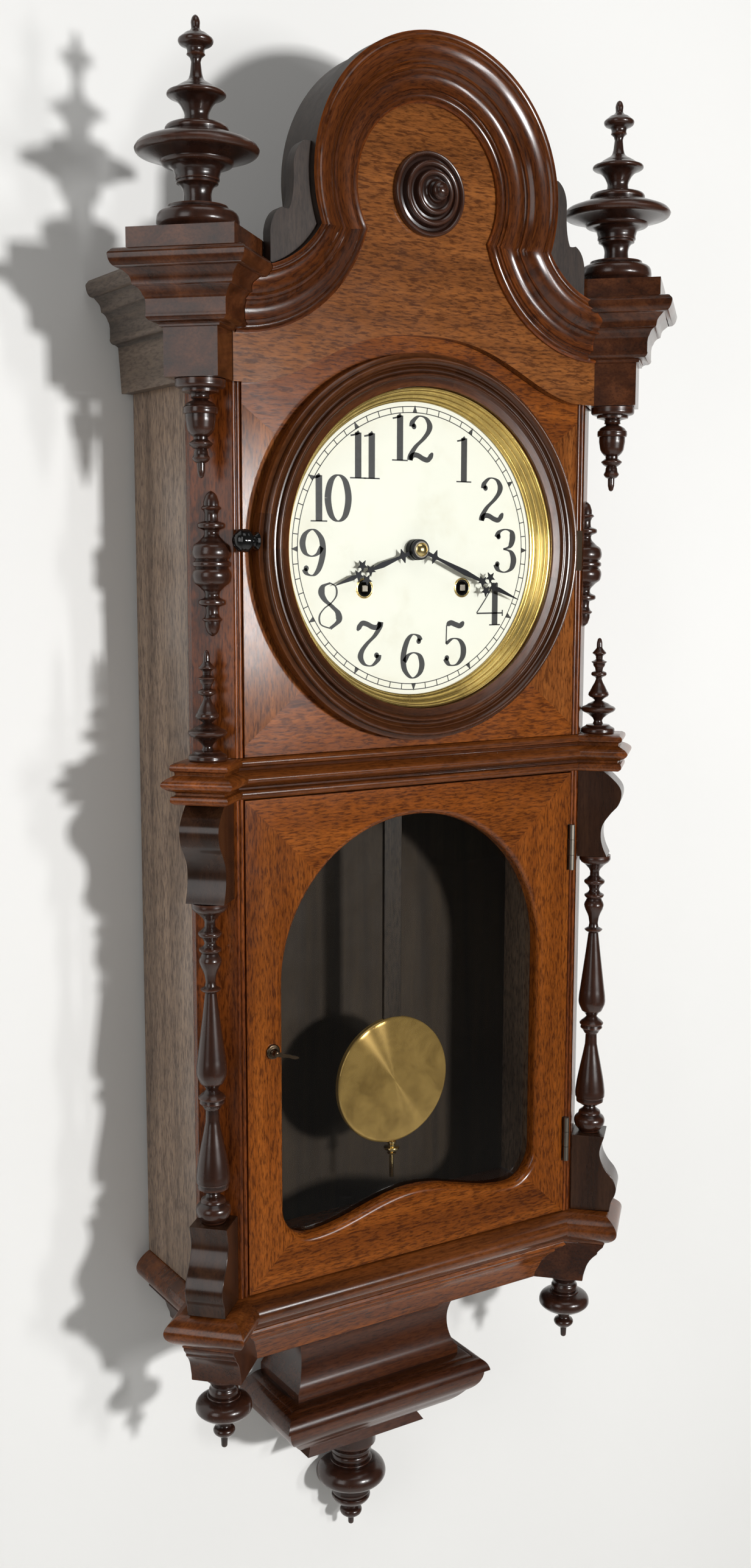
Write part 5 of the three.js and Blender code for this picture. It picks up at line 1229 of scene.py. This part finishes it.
# Numerals are drawn in a box one high: each stroke is a centre line, thick where it runs upright.
# A stroke's second value scales its thickness. BALLS gives the round ends.
DIGITS = {
    "0": [([(-0.2, 0.5), (-0.14, 0.85), (0, 0.985), (0.14, 0.85), (0.2, 0.5), (0.14, 0.15), (0, 0.015),
            (-0.14, 0.15), (-0.2, 0.5)], 1.0)],
    "1": [([(0, 0.01), (0, 0.5), (0, 0.97)], 1.0), ([(-0.16, 0.012), (0.16, 0.012)], 1.0),
          ([(-0.15, 0.9), (-0.05, 0.93), (0.02, 0.985)], 1.2)],
    "2": [([(-0.18, 0.74), (-0.16, 0.86), (-0.04, 0.975), (0.1, 0.94), (0.18, 0.8), (0.16, 0.66), (0.06, 0.5),
            (-0.1, 0.32), (-0.2, 0.14), (-0.22, 0.02)], 0.9),
          ([(-0.22, 0.03), (-0.16, 0.13), (-0.06, 0.13), (0.06, 0.06), (0.16, 0.05), (0.25, 0.2)], 3.8)],
    "3": [([(-0.19, 0.8), (-0.13, 0.93), (0, 0.985), (0.13, 0.93), (0.16, 0.77), (0.1, 0.6),
            (-0.04, 0.54)], 1.0),
          ([(-0.04, 0.54), (0.12, 0.48), (0.19, 0.3), (0.14, 0.1), (0, 0.015), (-0.14, 0.06),
            (-0.21, 0.2)], 1.0)],
    "4": [([(0.08, 0.01), (0.08, 0.5), (0.08, 0.97)], 1.0),
          ([(0.06, 0.97), (-0.12, 0.62), (-0.32, 0.29)], 0.18),
          ([(-0.32, 0.28), (0.25, 0.28)], 1.2), ([(0.25, 0.21), (0.25, 0.35)], 0.2),
          ([(-0.04, 0.012), (0.2, 0.012)], 1.0)],
    "5": [([(-0.17, 0.92), (-0.08, 0.97), (0.02, 0.93), (0.12, 0.9), (0.2, 0.99)], 4.0),
          ([(-0.17, 0.92), (-0.18, 0.5)], 0.2),
          ([(-0.18, 0.5), (-0.04, 0.61), (0.1, 0.58), (0.19, 0.42), (0.18, 0.2), (0.06, 0.03), (-0.1, 0.02),
            (-0.2, 0.17)], 0.95)],
    "6": [([(0.16, 0.84), (0.1, 0.95), (-0.02, 0.975), (-0.13, 0.82), (-0.2, 0.5), (-0.17, 0.2),
            (-0.02, 0.015),
            (0.13, 0.1), (0.19, 0.3), (0.14, 0.5), (0.02, 0.575), (-0.1, 0.52), (-0.18, 0.38)], 0.9)],
    "7": [([(-0.25, 0.8), (-0.16, 0.95), (-0.06, 0.94), (0.06, 0.87), (0.16, 0.87), (0.22, 0.97)], 3.8),
          ([(0.22, 0.98), (0.2, 0.86), (0.1, 0.68), (-0.06, 0.5), (-0.16, 0.34), (-0.18, 0.2), (-0.1, 0.06),
            (0.04, 0.025), (0.16, 0.14), (0.18, 0.26)], 0.9)],
    "8": [([(0.02, 0.985), (-0.11, 0.92), (-0.15, 0.78), (-0.08, 0.62), (0.06, 0.48), (0.17, 0.34),
            (0.18, 0.17),
            (0.02, 0.015)], 1.0),
          ([(0.02, 0.985), (0.13, 0.9), (0.14, 0.72), (0.04, 0.56), (-0.1, 0.44), (-0.19, 0.28), (-0.16, 0.1),
            (0.02, 0.015)], 0.28)],
}
DIGITS["9"] = [([(-x, 1 - z) for x, z in DIGITS["6"][0][0]], 0.9)]
BALLS = {
    "2": [(-0.14, 0.75)], "7": [(0.14, 0.25)], "3": [(-0.15, 0.82), (-0.17, 0.2)],
    "5": [(-0.16, 0.18)], "6": [(0.12, 0.83)],
    "9": [(-0.12, 0.17)],
}


def spline(points, steps=8):
    """A smooth line through the points."""
    if len(points) == 2:
        return [points[0], points[1]]
    closed = points[0] == points[-1]
    line = []
    last = len(points) - 1
    for i in range(last):
        before = points[i - 1] if i else (points[-2] if closed else points[0])
        after = points[i + 2] if i + 2 <= last else (points[1] if closed else points[-1])
        for k in range(steps):
            t = k / steps
            line.append(tuple(
                0.5 * (
                    2 * b + (c - a) * t + (2 * a - 5 * b + 4 * c - d) * t * t
                    + (3 * b - a - 3 * c + d) * t ** 3
                )
                for a, b, c, d in zip(before, points[i], points[i + 1], after)
            ))
    line.append(points[-1])
    return line


def digit_mesh(digit, x, z, height, thick=4.9, thin=0.9):
    """Ribbons for one digit's strokes, with the box's lower middle at x, z."""
    verts, faces = [], []
    wide = height * 1.28
    for points, weight in DIGITS[digit]:
        line = [(x + a * wide, z + b * height) for a, b in spline(points)]
        start = len(verts)
        for i, (a, b) in enumerate(line):
            p, q = line[max(i - 1, 0)], line[min(i + 1, len(line) - 1)]
            length = math.hypot(q[0] - p[0], q[1] - p[1])
            d = ((q[0] - p[0]) / length, (q[1] - p[1]) / length)
            upright = abs(d[1]) ** 1.8
            width = (thin + (thick - thin) * upright) * min(weight, 1.0)
            if weight > 1:
                width = max(width, thin * weight)
            ends = min(i, len(line) - 1 - i) / 3
            if weight > 2:
                width *= min(1, 0.35 + ends * 0.5)
            half = max(width, thin) / 2
            verts.append((a - d[1] * half, 0, b + d[0] * half))
            verts.append((a + d[1] * half, 0, b - d[0] * half))
        for i in range(len(line) - 1):
            k = start + 2 * i
            faces.append((k, k + 1, k + 3, k + 2))
    for a, b in BALLS.get(digit, []):
        ring = circle(0.062 * height, 24, x + a * wide, z + b * height)
        start = len(verts)
        verts += [(u, 0, w) for u, w in ring]
        faces.append(tuple(range(start, start + len(ring))))
    return verts, faces


def build_numerals():
    places = {
        12: (-0.5, 73), 1: (40, 60.4), 2: (63.6, 34.4), 3: (75.6, -0.4), 4: (64.2, -36.5), 5: (33.4, -63.4),
        6: (-0.6, -71), 7: (-35, -62), 8: (-66, -36.4), 9: (-78.4, -2.3), 10: (-63, 32.6), 11: (-38.8, 60.6),
    }
    for hour, (x, z) in places.items():
        text = str(hour)
        spread = {"10": (-10.5, 3.9), "11": (-5.2, 5.2), "12": (-11.2, 5.2)}.get(text, (0,))
        verts, faces = [], []
        for digit, shift in zip(text, spread):
            more, their = digit_mesh(digit, x + shift, z - NUMERAL_HEIGHT / 2, NUMERAL_HEIGHT)
            faces += [tuple(i + len(verts) for i in face) for face in their]
            verts += more
        verts = shifted(verts, y=DIAL_Y - 0.05)
        make(f"numeral_{hour}", verts, faces, "ink", "case", "dial_paint")


def star(x, z, reach, points, tilt=0.0):
    """A small star: long and short radii by turns."""
    line = []
    for k in range(2 * points):
        a = math.pi / 2 + tilt + math.pi * k / points
        r = reach * (0.42 if k % 2 else 1.0)
        line.append((x + r * math.cos(a), z + r * math.sin(a)))
    return line


def hand_mesh(reach, cluster, y, angle):
    """A thin stem with a cross near the hub, an open cluster of four stars and a long point, drawn
    upright and turned clockwise from twelve."""
    gap = 4.9
    stem = [(1.5, 4), (0.9, 16), (1.9, cluster * 0.66), (0.8, cluster - gap)]
    point = [(0.7, cluster + gap), (1.6, cluster + gap + 5), (0.15, reach)]
    shapes = [side + [(-x, z) for x, z in reversed(side)] for side in (stem, point)]
    shapes.append(star(0, 12.5, 5, 4))
    shapes += [star(x, z, 4.2, 5) for x, z in (
        (0, cluster - gap), (-gap, cluster), (gap, cluster), (0, cluster + gap),
    )]
    verts, faces = [], []
    for k, shape in enumerate(shapes):
        more, their = prism(shape, y - 0.02 * k, y - 0.9 - 0.02 * k)
        faces += [tuple(i + len(verts) for i in face) for face in their]
        verts += more
    a = math.radians(angle)
    turned = [
        (x * math.cos(a) + z * math.sin(a), yy, -x * math.sin(a) + z * math.cos(a)) for x, yy, z in verts
    ]
    return turned, faces


def build_hands():
    verts, faces = hand_mesh(68.5, 44.4, HOUR_Y, HOUR_ANGLE)
    hour_hand = make("hour_blade", verts, faces, "black_steel", "hour", "black_steel", 30)
    disc("hour_boss", 7, HOUR_Y - 1, DIAL_Y - 0.4, "black_steel", "hour", "black_steel", bore=2.5)
    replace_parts(bevel(hour_hand, 0.12, 1, 50), "hour_hand")
    verts, faces = hand_mesh(88.5, 60.5, MINUTE_Y, MINUTE_ANGLE)
    minute_hand = make("minute_blade", verts, faces, "black_steel", "minute", "black_steel", 30)
    disc("minute_boss", 6.8, MINUTE_Y - 1.2, MINUTE_Y + 1.2, "black_steel", "minute", "black_steel", bore=1.6)
    disc("minute_collet", 5.6, MINUTE_Y - 2, MINUTE_Y - 1.2, "steel", "minute", "black_steel", bore=1.6)
    disc("hand_nut", 4.6, MINUTE_Y - 2.8, MINUTE_Y - 2, "brass_bright", "minute", "brass", dome=1.8)
    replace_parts(bevel(minute_hand, 0.12, 1, 50), "minute_hand")


# Door

def door_light(grow, head_steps=64, hump_steps=48, corner_steps=12):
    half = 105 + grow
    head = DOOR_TOP - 19.7 - 105
    low = DOOR_BOTTOM + 30.9 - grow
    radius = 22 + grow
    points = []
    for k in range(head_steps + 1):
        a = math.pi - math.pi * k / head_steps
        points.append((half * math.cos(a), head + half * math.sin(a)))
    corner = []
    for k in range(corner_steps):
        a = -math.pi / 2 * k / corner_steps
        corner.append((83 + radius * math.cos(a), low + radius + radius * math.sin(a)))
    points += corner
    for k in range(hump_steps + 1):
        x = 83 * (1 - 2 * k / hump_steps)
        points.append((x, low + 15.2 * (1 + math.cos(math.pi * x / 83)) / 2))
    return points + [(-x, z) for x, z in reversed(corner)]


def frame_rows():
    """Rows of the door's edge from the outer rounding to the rebate: (grow, depth from the front)."""
    turns = [math.pi / 2 * k / 8 for k in range(9)]
    rounding = [(5 * (1 - math.sin(a)), 5 * (1 - math.cos(a))) for a in turns]
    return rounding + [(0, 9), (5, 9), (5, 16)]


def build_door():
    rim = [
        (-PANEL_HALF, DOOR_BOTTOM), (PANEL_HALF, DOOR_BOTTOM),
        (PANEL_HALF, DOOR_TOP), (-PANEL_HALF, DOOR_TOP),
    ]
    rows = frame_rows()
    rings_of = [door_light(grow) for grow, _ in rows]
    count = len(rings_of[0])
    verts = [(x, FRONT + depth, z) for ring, (_, depth) in zip(rings_of, rows) for x, z in ring]
    faces = []
    for r in range(len(rows) - 1):
        for k in range(count):
            m = (k + 1) % count
            faces.append((r * count + k, r * count + m, (r + 1) * count + m, (r + 1) * count + k))
    base = len(verts)
    verts += [(x, FRONT, z) for x, z in rim] + [(x, FRONT + 16, z) for x, z in rim]
    for i in range(4):
        j = (i + 1) % 4
        faces.append((base + i, base + j, base + 4 + j, base + 4 + i))
    for ring, corner in ((0, base), (len(rows) - 1, base + 4)):
        loop = [Vector((x, z, 0)) for x, z in rings_of[ring]]
        edge = [Vector((x, z, 0)) for x, z in rim]
        index = [corner + i for i in range(4)] + [ring * count + k for k in range(count)]
        for tri in tessellate_polygon([edge, loop]):
            faces.append(tuple(index[i] for i in tri))
    door = make("door_round_light", verts, faces, "veneer_up", "door", "veneer", 40)
    carve(door, *[mesh_object("mortise", *cuboid(
        130.7, 133, FRONT - 1, FRONT + 10, z - HINGE_HALF, z + HINGE_HALF,
    )) for z in HINGE_HEIGHTS])
    lines = [((-PANEL_HALF, DOOR_TOP), (-80.8, -209.3)), ((-PANEL_HALF, DOOR_BOTTOM), (-96.6, -456.6))]
    veneer_mitres(door, lines, "veneer_across")
    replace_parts(door, "door_frame")
    verts, faces = prism(door_light(4.7), FRONT + 9.3, FRONT + 11.3)
    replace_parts(make("door_pane", verts, faces, "glass", "door", "glass", 30), "door_glass")


def build_latch():
    x, z = -113.6, -326.0
    rose = outline([(0.01, 0.1), (5, 0.1), (5, 0.8), (3.8, 1.6, 0.3), (2.6, 1.8), (2.2, 3, 0.2),
                    (1.7, 5.2, -0.2),
                    (1.9, 6.6, 0.1), (0.01, 7.2, 0.3)], 5)
    verts, faces = rings(rose, 40)
    verts = [(x + a, FRONT - h, z + b) for a, b, h in verts]
    make("latch_rose", verts, faces, "bronze", "latch", "brass", 30)
    lever = outline([(-1.8, -1.5), (6, -1.1, 0.3), (12, -0.9, -0.3), (16.5, 0.2, 0.4), (16.5, 1.1, 0.3),
                     (12, 1.1, 0.2), (6, 1.1, 0.3), (-1.8, 1.5)], 6)
    a = math.radians(-20)
    turned = [
        (x + u * math.cos(a) - w * math.sin(a), z + u * math.sin(a) + w * math.cos(a)) for u, w in lever
    ]
    verts, faces = prism(turned, FRONT - 5, FRONT - 7)
    bevel(make("latch_lever", verts, faces, "bronze", "latch", "brass", 30), 0.5, 3, 40)
    spindle = [(0.01, -FRONT - 0.5), (2, -FRONT - 0.5), (2, -FRONT - 17.6), (0.01, -FRONT - 17.6)]
    verts, faces = rings(spindle, 20)
    verts = [(x + p, -h, z + q) for p, q, h in verts]
    make("latch_spindle", verts, faces, "steel", "latch", "brass", 30)
    finger = cuboid(x - 23, x + 4, FRONT + 16.3, FRONT + 17.9, z - 4, z + 4)
    piece = bevel(make("latch_finger", *finger, "steel", "latch", "brass"), 0.4)
    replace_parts(piece, "door_latch")


# Pendulum and what stays as the CAD model has it

def build_pendulum():
    line = outline([(0.01, -4.4), (BOB_RADIUS - 1.2, -2.8, 0.6), (BOB_RADIUS, 0, 0.8)], 24)
    line += [(r, -h) for r, h in reversed(line[:-1])]
    verts, faces = rings(line, 96)
    verts = shifted(turn_to_y(verts, PENDULUM_Y), z=BOB_Z)
    bob = make("brass_bob", verts, faces, "bob", "pendulum", "brass", 40)
    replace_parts(bob, "pendulum_bob")
    stick_top = -18.0
    stick_foot = SUSPENSION - PENDULUM_LENGTH + 44.8
    board = cuboid(-7.2, 7.2, PENDULUM_Y - 0.9, PENDULUM_Y + 2.1, stick_foot, stick_top)
    stick = bevel(make("pendulum_stick", *board, "stick", "pendulum", "inside", 30), 0.4)
    low, high = stick_top - 1.6, 24.0
    wire = [
        cuboid(-10.6, 10.6, PENDULUM_Y - 0.9, PENDULUM_Y + 0.9, low, low + 3.2),
        cuboid(-10.6, 10.6, PENDULUM_Y - 0.9, PENDULUM_Y + 0.9, high - 1.6, high + 1.6),
        cuboid(-10.6, -9, PENDULUM_Y - 0.9, PENDULUM_Y + 0.9, low, high),
        cuboid(9, 10.6, PENDULUM_Y - 0.9, PENDULUM_Y + 0.9, low, high),
        cuboid(-1.5, 1.5, PENDULUM_Y - 0.9, PENDULUM_Y + 0.9, high, SUSPENSION - 3.6),
    ]
    for k, part in enumerate(wire):
        bevel(make(f"stirrup_{k}", *part, "steel", "pendulum", "steel", 30), 0.3)
    verts, faces = rings([(2.4, 0), (4, 0), (4, 3), (2.4, 3)], 32, closed=True)
    verts = shifted(turn_to_y(verts, PENDULUM_Y - 1.5), z=SUSPENSION)
    make("suspension_eye", verts, faces, "steel", "pendulum", "steel", 30)
    verts, faces = rings([(0.01, 0), (1.6, 0), (1.6, 31), (0.01, 31)], 20)
    thread = shifted(verts, y=PENDULUM_Y, z=SUSPENSION - PENDULUM_LENGTH - 70.5)
    make("pendulum_thread", thread, faces, "brass_bright", "pendulum", "steel", 30)
    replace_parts(stick, "pendulum_rod")
    low = -BOB_RADIUS - 12.6
    nut = outline([
        (0.01, 0), (1.6, 0.2), (1.7, 2.4), (3, 2.8), (3.4, 3.6, 0.2), (2.2, 4.4), (2.2, 5.8), (5, 6.2),
        (5.6, 7.2, 0.3), (5, 8.2, 0.3), (2.6, 8.6), (2.4, 10), (3.4, 11), (3.2, 12.2), (0.01, 12.4),
    ], 4)
    nut = [(r, low + h) for r, h in nut]
    verts, faces = rings(nut, 40)
    make("rating_nut", shifted(verts, y=PENDULUM_Y, z=BOB_Z), faces, "brass_bright", "pendulum", "brass", 30)


def build_boards():
    """The flat boards, with eased edges."""
    # The inside look carries painted shade for the dim inside of the case
    for node, look in (
        ("back_board", "inside"), ("case_top", "inside"),
        ("side_panel_l", "panel"), ("side_panel_r", "panel"),
    ):
        low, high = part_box(node)
        spans = [value / MM for pair in zip(low, high) for value in pair]
        board = make(f"{node}_board", *cuboid(*spans), look, "case", look, 30)
        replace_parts(bevel(board, 0.4), node)


def dress_frame():
    """Procedural finishes for the pieces that keep their CAD shape."""
    # The bezel hinge takes the dark bronze as painted shade, like the hinge tab
    plain = {
        "movement_frame": "brass", "time_great_wheel": "brass", "strike_great_wheel": "brass",
        "escape_wheel": "brass", "verge": "steel", "gong": "black_steel", "bezel_hinge": "bronze",
        "door_hinge_upper": "steel", "door_hinge_lower": "steel",
        "case_hinge_upper": "steel", "case_hinge_lower": "steel",
    }
    for node, look in plain.items():
        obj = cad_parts[node]
        obj.data.materials.clear()
        obj.data.materials.append(looks[look])


# Room, light and camera

def build_stage():
    """A plain pale wall behind the clock and a pale floor far below it."""
    n = Nodes("wall_paint")
    mottle = n.even_noise(3, 3)
    tone = n.ramp(mottle, [(0.3, (0.9, 0.895, 0.875)), (0.7, (0.92, 0.915, 0.895))])
    wall_paint = n.surface(tone, 0.85)
    for name, corners in (
        ("wall", [(-6, 0.004, -1.6), (6, 0.004, -1.6), (6, 0.004, 3), (-6, 0.004, 3)]),
        ("floor", [(-6, -6, -1.6), (6, -6, -1.6), (6, 0.004, -1.6), (-6, 0.004, -1.6)]),
    ):
        mesh = bpy.data.meshes.new(name)
        mesh.from_pydata(corners, [], [(0, 1, 2, 3)])
        mesh.materials.append(wall_paint)
        obj = bpy.data.objects.new(name, mesh)
        bpy.context.scene.collection.objects.link(obj)


def area_light(name, place, target, size, power):
    data = bpy.data.lights.new(name, "AREA")
    data.shape = "RECTANGLE"
    data.size, data.size_y = size
    data.energy = power
    obj = bpy.data.objects.new(name, data)
    bpy.context.scene.collection.objects.link(obj)
    obj.location = place
    toward = Vector(target) - Vector(place)
    obj.rotation_euler = toward.to_track_quat("-Z", "Y").to_euler()


def build_lights():
    area_light("key", (0.36, -2.05, 0.06), (0, 0, -0.1), (0.16, 0.16), 29.5)
    area_light("side_sheen", (0.87, -2.05, -0.02), (0, 0, -0.1), (0.14, 0.4), 7)
    area_light("soft_left", (-2.1, -1.1, 0.4), (0, 0, -0.1), (0.9, 1.6), 10)
    area_light("soft_top", (-0.2, -1.2, 1.9), (0, 0, 0), (1.6, 1.0), 7)
    world = bpy.data.worlds.new("room")
    bpy.context.scene.world = world
    world.use_nodes = True
    background = world.node_tree.nodes["Background"]
    background.inputs["Color"].default_value = (0.95, 0.93, 0.88, 1.0)
    background.inputs["Strength"].default_value = 0.06


def build_camera():
    """The photograph's own viewpoint."""
    yaw, pitch, roll = math.radians(32.277), math.radians(8.027), math.radians(0.125)
    forward = Vector((math.sin(yaw) * math.cos(pitch), math.cos(yaw) * math.cos(pitch), -math.sin(pitch)))
    level = Vector((math.cos(yaw), -math.sin(yaw), 0))
    upward = level.cross(forward)
    right = math.cos(roll) * level + math.sin(roll) * upward
    up = -math.sin(roll) * level + math.cos(roll) * upward
    data = bpy.data.cameras.new("camera")
    data.sensor_fit = "VERTICAL"
    data.sensor_height = 36.0
    data.lens = 2605.6 / 2576 * data.sensor_height
    camera = bpy.data.objects.new("camera", data)
    bpy.context.scene.collection.objects.link(camera)
    camera.matrix_world = Matrix((
        (right.x, up.x, -forward.x, -0.5935),
        (right.y, up.y, -forward.y, -0.9881),
        (right.z, up.z, -forward.z, -0.0071),
        (0, 0, 0, 1),
    ))
    bpy.context.scene.camera = camera
    bpy.context.scene.view_settings.view_transform = "Standard"


build_posts()
build_belt()
build_base()
build_foot()
build_corner_blocks()
build_side_cornices()
build_crest_moulding()
build_crest_board()
build_rosette()
build_frets()
build_turnings()
build_brackets()
build_boards()
build_panel()
build_bezel()
build_dial()
build_numerals()
build_hands()
build_door()
build_latch()
build_pendulum()
dress_frame()
build_stage()
build_lights()
build_camera()
